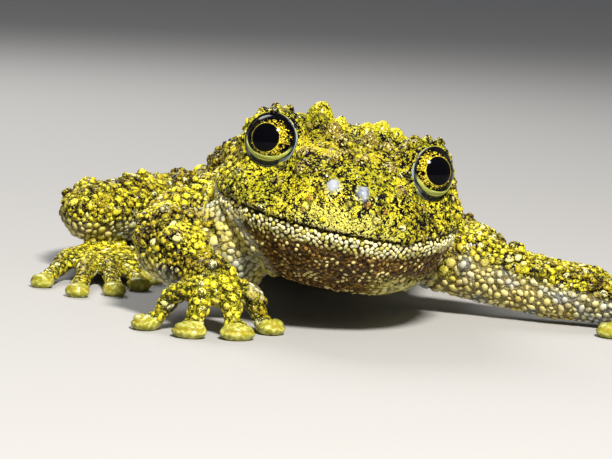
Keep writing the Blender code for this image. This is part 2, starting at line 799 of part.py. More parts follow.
def make_leg(side, home):
    sizes = LEGS[side]
    rooms = [trunk_loft("trunk_room", home, GAP)]
    segment(f"thigh_{side}", sizes["thigh"], rooms, home, 9)
    rooms = [
        limb("knee_room", sizes["thigh"], home, 9, grow=GAP),
        trunk_loft("trunk_room", home, GAP),
    ]
    segment(f"shank_{side}", sizes["shank"], rooms, home, 9)
    rooms = [limb("heel_room", sizes["shank"], home, 9, grow=GAP), floor_block(home)]
    segment(f"tarsus_{side}", sizes["tarsus"], rooms, home)
    ankle_room = limb("ankle_room", sizes["tarsus"], home, grow=GAP)
    make_extremity(f"foot_{side}", "sole", sizes, [ankle_room], TOE_DISC, TOE_ROOTS, home)


def close_slivers(obj):
    """Closes up the edges that are too short to hold in a solid."""
    shape = bmesh.new()
    shape.from_mesh(obj.data)
    bmesh.ops.dissolve_degenerate(shape, dist=SLIVER * MM, edges=shape.edges)
    bmesh.ops.triangulate(shape, faces=shape.faces)
    shape.to_mesh(obj.data)
    shape.free()


def centre_on_box(parts):
    """Moves every part so that the model's box is centred over the origin and stands on it."""
    corners = np.array([v.co for obj in parts.objects for v in obj.data.vertices])
    low, high = corners.min(axis=0), corners.max(axis=0)
    shift = Vector((-(low[0] + high[0]) / 2, -(low[1] + high[1]) / 2, -low[2]))
    stand = bpy.data.objects.new("frog", None)
    parts.objects.link(stand)
    stand.location = shift
    for obj in parts.objects:
        if obj.type == "MESH":
            obj.parent = stand
            obj.data.shade_smooth()
    print("moved by", [round(v / MM, 3) for v in shift])


def main():
    clear_scene()
    parts = collection("vietnamese_mossy_frog")
    head = make_head(parts)
    make_jaw(parts)
    for side in ("right", "left"):
        make_eye(side, parts)
    make_torso(parts)
    for side in ("right", "left"):
        make_arm(side, parts)
        make_leg(side, parts)
    add_warts(parts)
    open_sockets(head, parts)
    for obj in parts.objects:
        close_slivers(obj)
    centre_on_box(parts)


main()
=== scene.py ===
"""Vietnamese mossy frog, life size: one warty skin, granules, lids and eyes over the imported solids.

Sizes are in millimetres in the frog's own frame: it faces -Y, +X is its left side, and the origin
is on the floor under the middle of its trunk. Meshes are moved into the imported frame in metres.
"""

import itertools
import math

import bmesh
import bpy
import numpy as np
from bpy.props import FloatProperty, FloatVectorProperty, PointerProperty
from mathutils import Matrix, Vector
from mathutils.kdtree import KDTree


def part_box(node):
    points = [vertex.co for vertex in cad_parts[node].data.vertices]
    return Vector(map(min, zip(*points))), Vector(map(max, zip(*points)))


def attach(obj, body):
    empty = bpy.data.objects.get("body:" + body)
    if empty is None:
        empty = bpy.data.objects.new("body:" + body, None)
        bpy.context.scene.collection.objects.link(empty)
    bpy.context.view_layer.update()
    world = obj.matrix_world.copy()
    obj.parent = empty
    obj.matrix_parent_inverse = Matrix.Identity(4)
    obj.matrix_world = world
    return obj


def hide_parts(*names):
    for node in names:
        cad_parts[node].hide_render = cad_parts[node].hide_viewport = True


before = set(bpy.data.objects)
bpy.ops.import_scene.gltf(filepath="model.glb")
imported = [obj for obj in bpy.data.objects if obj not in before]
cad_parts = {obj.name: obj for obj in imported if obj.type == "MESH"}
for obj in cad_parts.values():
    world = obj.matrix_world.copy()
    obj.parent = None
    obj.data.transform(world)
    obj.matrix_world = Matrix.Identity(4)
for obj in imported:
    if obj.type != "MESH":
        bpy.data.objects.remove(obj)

bl_info = {
    "name": "Mossy frog",
    "version": (1, 0, 0),
    "blender": (4, 5, 0),
    "location": "3D View > Sidebar > Frog",
    "description": "Skin, granules, lids, eyes, floor, light and camera of a mossy frog",
    "category": "Add Mesh",
}

MM = 0.001
# The frog's sides, and which way each lies along X
SIDES = {"right": -1, "left": 1}

# The head, in its own axes with the origin between the jaw corners: -Y is forward and Z is up
HEAD_WIDTH = 32.0
MOUTH_REACH = 20.0
JAW_HINGE = np.array([0.7, -13.0, 14.1])
HEAD_YAW, HEAD_NOD, HEAD_LEAN = math.radians(-5.5), math.radians(3.0), math.radians(9.0)
HALF = HEAD_WIDTH / 2
# The mouth's line rises by this much at its left corner, and the left cheek is this much as wide
MOUTH_CURVE, LEFT_CHEEK = 1.1, 0.95
# Plan outlines from throat to crown: height over the mouth, half width, reach forward, fullness
HEAD_LEVELS = (
    (-9.2, 0.36 * HALF, 0.38 * MOUTH_REACH, 2.2),
    (-8.2, 0.60 * HALF, 0.62 * MOUTH_REACH, 2.2),
    (-6.6, 0.78 * HALF, 0.80 * MOUTH_REACH, 2.2),
    (-4.4, 0.90 * HALF, 0.91 * MOUTH_REACH, 2.2),
    (-2.2, 0.955 * HALF, 0.955 * MOUTH_REACH, 2.2),
    (-0.6, 0.985 * HALF, 0.98 * MOUTH_REACH, 2.2),
    (0.6, HALF, MOUTH_REACH, 2.2),
    (2.2, 0.995 * HALF, MOUTH_REACH, 2.1),
    (4.0, 0.96 * HALF, 0.97 * MOUTH_REACH, 1.9),
    (5.7, 0.91 * HALF, 0.90 * MOUTH_REACH, 1.8),
    (7.4, 0.83 * HALF, 0.76 * MOUTH_REACH, 1.8),
    (8.9, 0.70 * HALF, 0.56 * MOUTH_REACH, 1.9),
    (9.9, 0.50 * HALF, 0.34 * MOUTH_REACH, 2.0),
)
# How far the head reaches back, in full where it reaches this far forward
HEAD_BACK, FULL_BACK_FROM = 12.0, 14.0
THROAT_POLE, CROWN_POLE = (0.0, 1.0, -9.6), (0.0, 2.0, 10.4)

# Eyes: the middle of each lid opening, how far each looks outwards, and how deep the ball sits
EYE_RADIUS = 3.55
LID_OPENING = 3.3
EYE_OUT = {"right": 10.4, "left": 10.1}
EYE_FORWARD, EYE_UP = 9.5, 8.1
EYE_TURN = {"right": math.radians(-20.0), "left": math.radians(40.0)}
EYE_LIFT = math.radians(8.0)
# How far each iris is turned and lifted from the middle of its lid opening, and the pupil further
GAZE_TURN = {"right": math.radians(10.5), "left": math.radians(-23.0)}
GAZE_LIFT = {"right": math.radians(3.0), "left": math.radians(10.0)}
PUPIL_TURN = math.radians(13.0)
# The bulge round each ball, a second one behind it, and how steeply the lid opening widens
ORBIT, ORBIT_BEHIND, ORBIT_BACK = (4.35, 4.45, 2.0), 1.6, (4.1, 4.2, 2.9)
FUNNEL_ANGLE = math.radians(48.0)
# How far inside the ball the skin lies under it, and how high the roll of lid round it is
UNDER_BALL, LID_ROLL = 0.35, 0.35
# Angle from the eye's axis where the iris ends in a dark ring
IRIS_EDGE = 0.8

# Trunk from neck to vent: middle (x, y, z), half width, half height
TRUNK = (
    (0.6, -15.0, 12.2, 10.8, 6.8),
    (0.4, -9.0, 12.6, 14.2, 8.2),
    (0.0, -2.0, 12.6, 15.8, 9.0),
    (-0.2, 6.0, 12.2, 16.8, 9.3),
    (-0.2, 14.0, 11.4, 17.3, 9.3),
    (0.0, 22.0, 10.4, 17.0, 8.8),
    (0.0, 30.0, 9.6, 14.4, 7.6),
    (0.0, 37.0, 8.8, 9.6, 5.6),
    (0.0, 42.0, 8.2, 4.6, 3.2),
)
TRUNK_LEAN = math.radians(5.0)

# Limb stations (x, y, z, half width, half height) from root to tip, and where the discs rest. Each
# length, and the palm, starts from the last station of the length before it.
LIMBS = {
    "arm_right": {
        "lengths": (
            (
                (-10.0, -4.0, 12.6, 4.8, 4.9),
                (-15.5, -6.4, 11.8, 4.6, 4.7),
                (-19.6, -9.6, 10.6, 4.3, 4.3),
                (-21.2, -12.4, 9.8, 3.9, 3.9),
                (-20.6, -16.4, 9.0, 4.8, 4.6),
                (-19.2, -20.8, 8.1, 4.3, 4.2),
                (-17.6, -24.8, 6.8, 2.9, 2.8),
            ),
        ),
        "palm": (
            (-16.2, -27.8, 6.0, 3.4, 2.3),
            (-15.6, -29.6, 5.2, 3.2, 1.9),
        ),
        "pads": ((-8.6, -29.4), (-13.0, -34.6), (-18.8, -34.4), (-24.0, -29.4)),
        "rise": 1.6,
    },
    "arm_left": {
        "lengths": (
            (
                (11.0, -4.0, 8.6, 4.8, 4.8),
                (17.0, -6.2, 7.0, 4.4, 4.4),
                (22.6, -8.4, 5.5, 3.9, 3.9),
                (27.6, -10.6, 4.2, 3.4, 3.3),
                (31.4, -12.0, 3.7, 3.5, 3.1),
                (35.6, -13.6, 3.1, 3.1, 2.6),
                (39.6, -15.6, 2.6, 2.5, 2.1),
            ),
        ),
        "palm": (
            (41.4, -18.2, 2.5, 3.3, 1.9),
            (42.4, -20.2, 2.3, 3.2, 1.6),
        ),
        "pads": ((35.2, -22.0), (41.0, -29.6), (48.8, -28.6), (52.4, -20.6)),
        "rise": 1.2,
    },
    "leg_right": {
        "lengths": (
            (
                (-5.0, 37.0, 8.8, 4.5, 4.5),
                (-12.0, 33.4, 8.8, 4.8, 4.7),
                (-19.6, 28.0, 8.7, 4.6, 4.5),
                (-26.4, 22.8, 8.5, 4.2, 4.1),
                (-30.8, 19.4, 8.2, 3.8, 3.8),
            ),
            (
                (-31.2, 25.0, 7.8, 3.7, 3.6),
                (-28.2, 33.0, 6.9, 3.7, 3.5),
                (-22.8, 41.2, 5.2, 3.0, 3.0),
                (-17.0, 48.6, 3.4, 2.6, 2.6),
            ),
            (
                (-19.4, 43.8, 2.4, 2.4, 2.1),
                (-22.6, 37.0, 1.9, 2.3, 1.7),
                (-25.4, 30.8, 2.0, 2.5, 1.7),
            ),
        ),
        "palm": (
            (-27.0, 25.6, 2.1, 3.0, 1.6),
            (-28.2, 20.6, 2.3, 3.6, 1.6),
            (-28.6, 17.6, 2.3, 3.8, 1.5),
        ),
        "pads": ((-22.2, 8.4), (-24.2, 2.2), (-27.6, -3.4), (-32.4, -5.6), (-37.2, 1.6)),
        "rise": 1.3,
    },
    "leg_left": {
        "lengths": (
            (
                (5.0, 37.0, 8.0, 4.4, 4.4),
                (10.4, 32.0, 7.0, 4.7, 4.6),
                (16.0, 24.8, 5.8, 4.5, 4.4),
                (19.4, 18.8, 4.7, 4.0, 3.9),
                (21.0, 14.4, 4.1, 3.5, 3.4),
            ),
            (
                (24.0, 19.8, 4.4, 3.6, 3.5),
                (23.8, 28.0, 4.7, 3.6, 3.4),
                (20.2, 36.8, 4.3, 3.0, 2.9),
                (15.4, 45.0, 3.2, 2.6, 2.5),
            ),
            (
                (19.6, 43.2, 2.3, 2.4, 2.1),
                (25.4, 38.6, 1.9, 2.3, 1.7),
                (29.8, 32.6, 2.0, 2.5, 1.7),
            ),
        ),
        "palm": (
            (32.2, 28.2, 2.1, 3.0, 1.6),
            (33.8, 23.8, 2.3, 3.6, 1.6),
            (34.4, 21.2, 2.3, 3.8, 1.5),
        ),
        "pads": ((29.0, 13.6), (31.2, 7.4), (35.2, 2.8), (40.8, 2.2), (44.6, 9.2)),
        "rise": 1.2,
    },
}
# Loose skin of the right armpit, between the folded arm and the jaw
ARMPIT, ARMPIT_RADII = (-13.6, -17.2, 8.6), (5.0, 6.4, 6.4)
# Smooth nape, between head and back
NECK, NECK_RADII = (0.5, -6.0, 15.2), (12.5, 9.0, 6.4)
# How wide the discs are, and how far from the middle one the outer digits start
DISC_WIDTH = {"arm": 4.6, "leg": 3.5}
ROOT_SPREAD = {"arm": 2.3, "leg": 2.9}
# A disc's half length and breadth to its width, half height and level to its thickness, and height
# of the tip of its digit
DISC_SHAPE, DISC_LEVEL, DISC_THICKNESS = (0.44, 0.52, 0.6), 0.42, 1.9
TIP_HEIGHT = 1.0
# A digit from its root on: share of the way to the disc, share of the rise, half width and height
DIGIT = ((0.0, 0.0, 1.6, 1.4), (0.4, 0.8, 1.35, 1.25), (0.66, 0.15, 1.2, 1.1))
DIGIT_TIP = (1.1, 0.75)
# How thick the web is, how far it reaches along the toes, and how far its edge sags between them
WEB_THICKNESS, WEB_REACH, WEB_SAG = 1.0, 0.74, 0.3

# How finely the skin is cast, and how much its smoothing takes off, which is added first
VOXEL = 0.5
SMOOTHING_ROUNDS = 6
SHRINKAGE = 0.06

# The solids' own warts: parts that have them, least height, distance apart, breadth to height
WARTY_PARTS = ("upper_arm", "forearm", "thigh", "shank")
WART_LEAST, WART_APART, WART_BREADTH = 0.7, 1.6, 1.3
# Warts between them: spacing, smallest and largest radius, share of cells that hold one, seed
LARGE_WARTS = (4.2, 1.1, 2.3, 0.8, 5)
MIDDLING_WARTS = (2.3, 0.7, 1.3, 0.7, 25)
SMALL_WARTS = (1.1, 0.42, 0.7, 0.9, 45)
LARGE_HEIGHT, MIDDLING_HEIGHT, SMALL_HEIGHT = 1.495, 0.75, 0.34

# Warts of the head in its own axes: x, y, z, radius, height
HEAD_WARTS = (
    (-4.9, -3.6, 10.3, 2.1, 3.5),
    (-7.6, -4.6, 10.0, 1.2, 1.7),
    (-6.3, -6.6, 10.0, 0.8, 0.8),
    (-2.2, -3.4, 10.4, 1.15, 2.0),
    (1.2, -2.0, 10.4, 1.3, 1.7),
    (3.1, -1.8, 10.4, 1.6, 2.3),
    (5.0, -2.6, 10.3, 1.4, 2.0),
    (6.6, -3.4, 10.0, 1.0, 1.3),
    (-7.6, -1.2, 10.0, 1.2, 1.2),
    (-9.2, -6.4, 11.2, 0.85, 0.9),
    (-10.6, -6.6, 11.9, 0.75, 0.8),
    (-12.2, -6.4, 11.4, 0.7, 0.6),
    (7.4, -6.4, 11.0, 0.8, 0.8),
    (8.8, -6.6, 11.6, 0.75, 0.8),
    (10.4, -6.4, 11.8, 0.75, 0.8),
    (-2.9, -6.4, 9.9, 1.4, 1.8),
    (-1.4, -9.2, 9.3, 1.1, 1.5),
    (1.6, -7.5, 9.7, 1.3, 1.7),
    (4.2, -7.4, 9.5, 1.2, 1.4),
    (-5.8, -12.4, 7.7, 1.2, 0.9),
    (-1.3, -12.1, 8.5, 0.9, 0.9),
    (-1.9, -14.5, 7.6, 0.95, 1.3),
    (1.4, -13.4, 8.0, 0.95, 1.3),
    (4.9, -12.6, 7.8, 1.1, 0.8),
    (-6.2, -14.6, 6.3, 1.4, 0.8),
    (6.6, -15.0, 6.0, 1.2, 0.8),
    (-9.4, -14.0, 4.6, 1.1, 0.6),
    (9.6, -13.8, 4.4, 1.1, 0.6),
    (15.1, -4.5, 3.4, 0.9, 0.9),
    (15.3, -5.7, 1.9, 0.8, 0.7),
    (13.2, -7.2, 7.2, 0.8, 0.6),
    (2.7, -18.8, 4.2, 0.6, 0.45),
    (4.8, -18.3, 3.8, 0.7, 0.45),
    (4.2, -19.2, 2.5, 0.8, 0.4),
    (-4.1, -18.7, 3.6, 0.6, 0.4),
    (-4.6, -19.2, 2.1, 0.6, 0.4),
    (-13.4, -3.6, 6.4, 1.1, 0.8),
    (-14.6, 0.8, 4.4, 1.3, 0.9),
)
# Tips of some small warts are orange or pink
ROSY_WARTS = (
    (2.7, -18.9, 4.0),
    (5.0, -18.4, 3.6),
    (-4.1, -18.8, 3.4),
    (-4.8, -19.2, 2.0),
    (7.6, -10.2, 9.4),
)
# The bumps at the nostrils, narrower across than up
NOSTRILS = np.array([[-1.9, -18.2, 5.75], [1.9, -18.2, 5.6]])
NOSTRIL_SHAPE = np.array([1.25, 1.0, 0.68])
EARS = ((-14.1, -0.6, 5.2), (14.1, -0.6, 5.2))
EAR_RADIUS = 1.9

# How high the bumps at the nostrils and the fold stand, and how deep the creases of the discs are
NOSTRIL_RISE, FOLD_RISE, CREASE_DEPTH = 0.42, 0.4, 0.26
# Half the breadth of the groove of the mouth
GROOVE = 0.17
# Fold of skin from the right corner of the mouth down to the throat: x and z of its ends
FOLD = ((-14.9, 15.6), (-6.6, 4.6))

# The way that the pale front of the left arm faces
LEFT_ARM_FRONT = (-0.1, -0.8, -0.6)

# The picture: where the camera stands, how wide its view is, and where it holds the snout
CAMERA_TURN, CAMERA_RISE, CAMERA_ROLL = math.radians(-5.0), math.radians(7.0), math.radians(3.0)
CAMERA_DISTANCE = 320.0
FIELD_WIDTH = 74.63
SNOUT = np.array([0.0, -30.2, 18.6])
SNOUT_RIGHT, SNOUT_UP = 5.244, 5.183
# Lights: where each stands, how wide it is, its share of the power, and its colour
LIGHTS = {
    "key": ((70, -330, 400), 110, 1.0, (1.0, 0.97, 0.92)),
    "back": ((-120, 380, 360), 260, 0.3, (1.0, 1.0, 1.0)),
}
LIGHT_TARGET = (0.0, -10.0, 12.0)
SKY = (0.9, 0.93, 1.0)
FLOOR_REACH = 3000.0


def turning(axis, angle):
    """The 3 by 3 rotation by an angle about X, Y or Z."""
    c, s = math.cos(angle), math.sin(angle)
    if axis == "X":
        return np.array([[1, 0, 0], [0, c, -s], [0, s, c]])
    if axis == "Y":
        return np.array([[c, 0, s], [0, 1, 0], [-s, 0, c]])
    return np.array([[c, -s, 0], [s, c, 0], [0, 0, 1]])


def unit(vectors):
    """The vectors with a length of 1."""
    return vectors / np.linalg.norm(vectors, axis=-1, keepdims=True)


def distance(points, place):
    """How far each point is from a place, or from a place of its own."""
    return np.linalg.norm(points - place, axis=1)


HEAD_AXES = turning("Z", HEAD_YAW) @ turning("X", HEAD_NOD) @ turning("Y", HEAD_LEAN)


def from_head(points):
    """Points given in the head's axes, in the frog's frame."""
    return np.asarray(points, float) @ HEAD_AXES.T + JAW_HINGE


def to_head(points):
    """Points given in the frog's frame, in the head's axes."""
    return (points - JAW_HINGE) @ HEAD_AXES


def eye_frame(side):
    """The middle of a lid opening and the eye's axes as columns; Z looks out of the eye."""
    middle = from_head((SIDES[side] * EYE_OUT[side], -EYE_FORWARD, EYE_UP))
    facing = turning("Z", EYE_TURN[side]) @ turning("X", math.pi / 2 - EYE_LIFT)
    return middle, HEAD_AXES @ facing


EYE_DEPTH = math.sqrt(EYE_RADIUS**2 - LID_OPENING**2)


def eye_centre(side):
    """The middle of the ball, so deep that the lid opening is a circle on it."""
    middle, axes = eye_frame(side)
    return middle - axes[:, 2] * EYE_DEPTH


def packed_shift():
    """From the frog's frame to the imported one: the right eyeball's middle is known in both."""
    low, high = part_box("eye_right")
    return (np.array(low) + np.array(high)) / 2 / MM - eye_centre("right")


SHIFT = packed_shift()


# Surfaces


def curve_through(stations, samples):
    """Catmull-Rom: between knots b and c, half of 2b + (c-a)t + (2a-5b+4c-d)t2 + (3b-a-3c+d)t3."""
    knots = np.asarray(stations, float)
    knots = np.vstack([2 * knots[0] - knots[1], knots, 2 * knots[-1] - knots[-2]])
    at = np.linspace(0, len(stations) - 1, samples)
    span = np.minimum(at.astype(int), len(stations) - 2)
    t = (at - span)[:, None]
    a, b, c, d = (knots[span + k] for k in range(4))
    return 0.5 * (
        2 * b + (c - a) * t + (2 * a - 5 * b + 4 * c - d) * t**2 + (3 * b - a - 3 * c + d) * t**3
    )


def round_angles(count):
    """Angles evenly round a circle, from 0."""
    return np.linspace(0, 2 * math.pi, count, endpoint=False)


def wrapped(rings, first_pole, last_pole):
    """Points and faces of a closed surface: a grid that joins up round each ring, with two poles."""
    count, around = rings.shape[:2]
    points = np.vstack([rings.reshape(-1, 3), [first_pole], [last_pole]])
    k = np.arange(around)
    after = (k + 1) % around
    rows = np.arange(count - 1)[:, None] * around
    quads = np.stack([rows + k, rows + after, rows + around + after, rows + around + k], axis=-1)
    first, last, top = count * around, count * around + 1, (count - 1) * around
    start = np.stack([np.full(around, first), after, k], axis=1)
    end = np.stack([np.full(around, last), top + k, top + after], axis=1)
    return points, [*quads.reshape(-1, 4).tolist(), *start.tolist(), *end.tolist()]


def tube(stations, samples, around, grow=0.0, lean=0.0, knots=0.0):
    """Oval sections carried along a curve: middle + a cos(t) side + b sin(t) up, round at both ends.

    knots swells the section twice along its length, as the joints of a digit do.
    """
    path = curve_through(stations, samples)
    middle, half = path[:, :3], path[:, 3:5] + grow
    swell = 1 + knots * np.cos(np.linspace(0, 4 * math.pi, samples)) ** 3
    half = half * swell[:, None]
    along = unit(np.gradient(middle, axis=0))
    side = unit(np.cross(along, (math.sin(lean), 0.0, math.cos(lean))))
    up = np.cross(side, along)
    cap = np.radians([66.0, 42.0, 20.0])
    which = np.concatenate([np.zeros(3, int), np.arange(samples), np.full(3, samples - 1)])
    shift = np.concatenate([-np.sin(cap), np.zeros(samples), np.sin(cap[::-1])])
    scale = np.concatenate([np.cos(cap), np.ones(samples), np.cos(cap[::-1])])
    t = round_angles(around)[None, :, None]
    centre = middle[which] + along[which] * (shift * half[which].min(axis=1))[:, None]
    across = (scale * half[which, 0])[:, None] * side[which]
    upward = (scale * half[which, 1])[:, None] * up[which]
    rings = centre[:, None] + np.cos(t) * across[:, None] + np.sin(t) * upward[:, None]
    first = middle[0] - along[0] * half[0].min()
    last = middle[-1] + along[-1] * half[-1].min()
    return wrapped(rings, first, last)


def ball(centre, axes, radii, rings=14, around=24):
    """An ellipsoid: centre + axes (a sin p cos t, b sin p sin t, c cos p)."""
    p = np.linspace(0, math.pi, rings + 2)[1:-1, None]
    t = round_angles(around)[None]
    local = np.stack(
        [np.sin(p) * np.cos(t), np.sin(p) * np.sin(t), np.cos(p) * np.ones_like(t)], axis=-1
    )
    grid = (local[::-1] * radii) @ axes.T + centre
    pole = axes[:, 2] * radii[2]
    return wrapped(grid, centre - pole, centre + pole)


def head_surface():
    """Superellipses stacked from throat to crown: x = a sin(t)^(2/n), y = -b cos(t)^(2/n)."""
    level, half, forward, fullness = curve_through(HEAD_LEVELS, 60).T[..., None]
    t = round_angles(120)[None]
    across, ahead = np.sin(t), np.cos(t)
    power = 2 / fullness
    x = half * np.sign(across) * np.abs(across) ** power * np.where(across > 0, LEFT_CHEEK, 1.0)
    behind = HEAD_BACK * np.minimum(1.0, forward / FULL_BACK_FROM)
    reach = np.where(ahead > 0, forward, behind)
    y = -reach * np.sign(ahead) * np.abs(ahead) ** power
    rings = from_head(np.stack([x, y, level + 0 * x], axis=-1))
    return wrapped(rings, from_head(THROAT_POLE), from_head(CROWN_POLE))


def digit_roots(name):
    """Evenly across the last section of a limb's palm or sole, in the order of the discs."""
    palm, pads = LIMBS[name]["palm"], LIMBS[name]["pads"]
    end, before = np.array(palm[-1][:3]), np.array(palm[-2][:3])
    side = unit(np.cross(unit(end - before), (0, 0, 1)))
    roots = end + side * (ROOT_SPREAD[name[:3]] * np.linspace(-1, 1, len(pads)))[:, None]
    if (roots[0] - roots[-1])[:2] @ (np.array(pads[0]) - np.array(pads[-1])) < 0:
        roots = roots[::-1]
    return roots


def all_digits():
    """The root of every finger and toe, the middle of its disc on the floor, and the disc's width."""
    for name, sizes in LIMBS.items():
        for root, pad in zip(digit_roots(name), sizes["pads"]):
            yield root, np.array(pad), DISC_WIDTH[name[:3]]


def digit(root, pad, rise, width):
    """A jointed tube that arches to the floor, and the broad disc at its tip."""
    tip = np.array([*pad, TIP_HEIGHT])
    reach = tip - root
    axes = turning("Z", math.atan2(reach[1], reach[0]))
    tip -= 0.3 * width * axes[:, 0]
    lift = np.array([0, 0, rise])
    stations = [(*(root + out * reach + up * lift), wide, high) for out, up, wide, high in DIGIT]
    stations.append((*tip, *DIGIT_TIP))
    centre = np.array([*pad, DISC_LEVEL * DISC_THICKNESS])
    disc = ball(centre, axes, np.multiply(DISC_SHAPE, (width, width, DISC_THICKNESS)))
    return [tube(stations, 26, 14, knots=0.09), disc]


def web(roots, pads, rise):
    """A closed thin sheet over the toes: root + v (tip - root), whose edge sags between two toes."""
    steps, along = 8, 14
    tips = np.array([[*pad, TIP_HEIGHT] for pad in pads])
    across = np.linspace(0, len(roots) - 1, (len(roots) - 1) * steps + 1)
    toe = np.minimum(across.astype(int), len(roots) - 2)
    t = (across - toe)[:, None]
    root = roots[toe] * (1 - t) + roots[toe + 1] * t
    tip = tips[toe] * (1 - t) + tips[toe + 1] * t
    sag = 1 - WEB_SAG * 4 * t * (1 - t)
    v = np.linspace(-0.05, WEB_REACH, along)[None, :, None]
    grid = root[:, None] + (tip - root)[:, None] * v * sag[:, None]
    grid[..., 2] += rise * np.sin(math.pi * np.clip(v[..., 0] / 0.95, 0, 1)) - 0.3
    half = np.array([0, 0, WEB_THICKNESS / 2])
    loop = np.concatenate([grid + half, (grid - half)[:, ::-1]], axis=1)
    return wrapped(loop, loop[0].mean(axis=0), loop[-1].mean(axis=0))


def limb_surfaces(name):
    """The lengths of one limb, its palm or sole, its digits with discs, and the web of a foot."""
    sizes, kind, joint, made = LIMBS[name], name[:3], (), []
    for stations in sizes["lengths"]:
        made.append(tube((*joint, *stations), 40, 32, SHRINKAGE))
        joint = stations[-1:]
    made.append(tube((*joint, *sizes["palm"]), 16, 24, SHRINKAGE))
    roots = digit_roots(name)
    for root, pad in zip(roots, sizes["pads"]):
        made += digit(root, pad, sizes["rise"], DISC_WIDTH[kind])
    if kind == "leg":
        made.append(web(roots, sizes["pads"], sizes["rise"]))
    return made


def frog_surfaces():
    """Every surface that the skin is cast round: head, trunk, orbits, nape, armpit and limbs."""
    made = [head_surface(), tube(TRUNK, 60, 64, SHRINKAGE, -TRUNK_LEAN)]
    for side in SIDES:
        axes = eye_frame(side)[1]
        made.append(ball(eye_centre(side), axes, ORBIT))
        made.append(ball(eye_centre(side) - ORBIT_BEHIND * axes[:, 2], axes, ORBIT_BACK))
    for middle, radii in ((NECK, NECK_RADII), (ARMPIT, ARMPIT_RADII)):
        made.append(ball(np.array(middle), np.eye(3), radii, 24, 40))
    for name in LIMBS:
        made += limb_surfaces(name)
    return made


# Noise and fields on points


def hashed(cell, seed):
    """A number from 0 to 1 for each whole-numbered cell, by multiplying and folding its bits."""
    h = cell[..., 0] * 374761393 + cell[..., 1] * 668265263 + cell[..., 2] * 1442695041
    h = (h + seed * 1013904223) & 0xFFFFFFFF
    h = ((h ^ (h >> 13)) * 1274126177) & 0xFFFFFFFF
    return ((h ^ (h >> 16)) & 0xFFFFFF) / 0xFFFFFF


def waves(points, size, seed):
    """Noise from -1 to 1: hashed values at lattice corners, blended by 3t2 - 2t3 on each axis."""
    at = points / size
    cell = np.floor(at).astype(np.int64)
    t = at - cell
    t = t * t * (3 - 2 * t)
    total = np.zeros(len(points))
    for corner in itertools.product((0, 1), repeat=3):
        share = np.prod(np.where(np.array(corner) == 1, t, 1 - t), axis=1)
        total += share * hashed(cell + np.array(corner), seed)
    return 2 * total - 1


def dome(points, middle, radius, power):
    """(1 - (d/r)2)^n, and 0 farther from the middle than the radius."""
    return np.clip(1 - (distance(points, middle) / radius) ** 2, 0, 1) ** power


def knobs(points, spacing, smallest, largest, keep, seed):
    """Domes r (1 - (d/r)2)^1.5, at most 1 high, round one jittered centre per lattice cell.

    The highest wins. keep is the share of cells that hold a dome, and each dome's radius r is hashed
    between the two given.
    """
    cell = np.floor(points / spacing).astype(np.int64)
    highest = np.zeros(len(points))
    for step in itertools.product((-1, 0, 1), repeat=3):
        near = cell + np.array(step)
        jitter = np.stack([hashed(near, seed + k) for k in range(3)], axis=1)
        radius = smallest + (largest - smallest) * hashed(near, seed + 3) ** 1.5
        raised = dome(points, (near + jitter) * spacing, radius, 1.5) * radius / largest
        highest = np.maximum(highest, np.where(hashed(near, seed + 4) < keep, raised, 0))
    return highest


def eased(value, low, high):
    """0 below low, 1 above high, and 3t2 - 2t3 between."""
    t = np.clip((value - low) / (high - low), 0, 1)
    return t * t * (3 - 2 * t)


def bell(value, width):
    """exp(-(v/w)2): 1 where the value is 0, fading on both sides."""
    return np.exp(-((value / width) ** 2))


def near_any(points, centres, radius, softness):
    """1 within the radius of any of the centres, falling to 0 over the softness."""
    away = np.full(len(points), np.inf)
    for centre in centres:
        away = np.minimum(away, distance(points, centre))
    return 1 - eased(away, radius, radius + softness)


# Meshes


def merged(surfaces):
    """One list of points and faces from several surfaces."""
    points, faces, start = [], [], 0
    for part, polygons in surfaces:
        points.append(part)
        faces += [[start + k for k in face] for face in polygons]
        start += len(part)
    return np.vstack(points), faces


def linked(name, data):
    """A new object for some data, in the scene."""
    obj = bpy.data.objects.new(name, data)
    bpy.context.collection.objects.link(obj)
    return obj


def new_object(name, points, faces, scale=1.0):
    mesh = bpy.data.meshes.new(name)
    mesh.from_pydata((points * scale).tolist(), [], faces)
    mesh.update()
    return linked(name, mesh)


def search_tree(points):
    """A tree that finds the points near a place."""
    tree = KDTree(len(points))
    for k, point in enumerate(points):
        tree.insert(point, k)
    tree.balance()
    return tree


def settled(obj):
    """The mesh that the object's modifiers make, with the object itself removed."""
    graph = bpy.context.evaluated_depsgraph_get()
    mesh = bpy.data.meshes.new_from_object(obj.evaluated_get(graph))
    old = obj.data
    bpy.data.objects.remove(obj, do_unlink=True)
    bpy.data.meshes.remove(old)
    return mesh


def rows_of(items, name, width, kind=float):
    """One property of every item of a mesh, as rows of this width."""
    flat = np.empty(width * len(items), kind)
    items.foreach_get(name, flat)
    return flat.reshape(-1, width)


def coordinates(mesh):
    return rows_of(mesh.vertices, "co", 3)


def normals(mesh):
    return rows_of(mesh.vertices, "normal", 3)


def move_to(mesh, points):
    mesh.vertices.foreach_set("co", points.ravel())
    mesh.update()


def relax(mesh, rounds, weight):
    """Each round moves every point by its weight towards the mean of its neighbours."""
    edges, points = rows_of(mesh.edges, "vertices", 2, int), coordinates(mesh)
    a, b = edges.T
    count = len(points)
    degree = np.bincount(edges.ravel(), minlength=count)[:, None]
    for _ in range(rounds):
        sums = [
            np.bincount(a, points[b, k], count) + np.bincount(b, points[a, k], count)
            for k in range(3)
        ]
        points = points + weight[:, None] * (np.stack(sums, axis=1) / degree - points)
    move_to(mesh, points)


def mark(mesh, name, values):
    """Keeps one number per point as an attribute that materials read."""
    layer = mesh.attributes.new(name, "FLOAT", "POINT")
    layer.data.foreach_set("value", np.ascontiguousarray(values, dtype=np.float32))


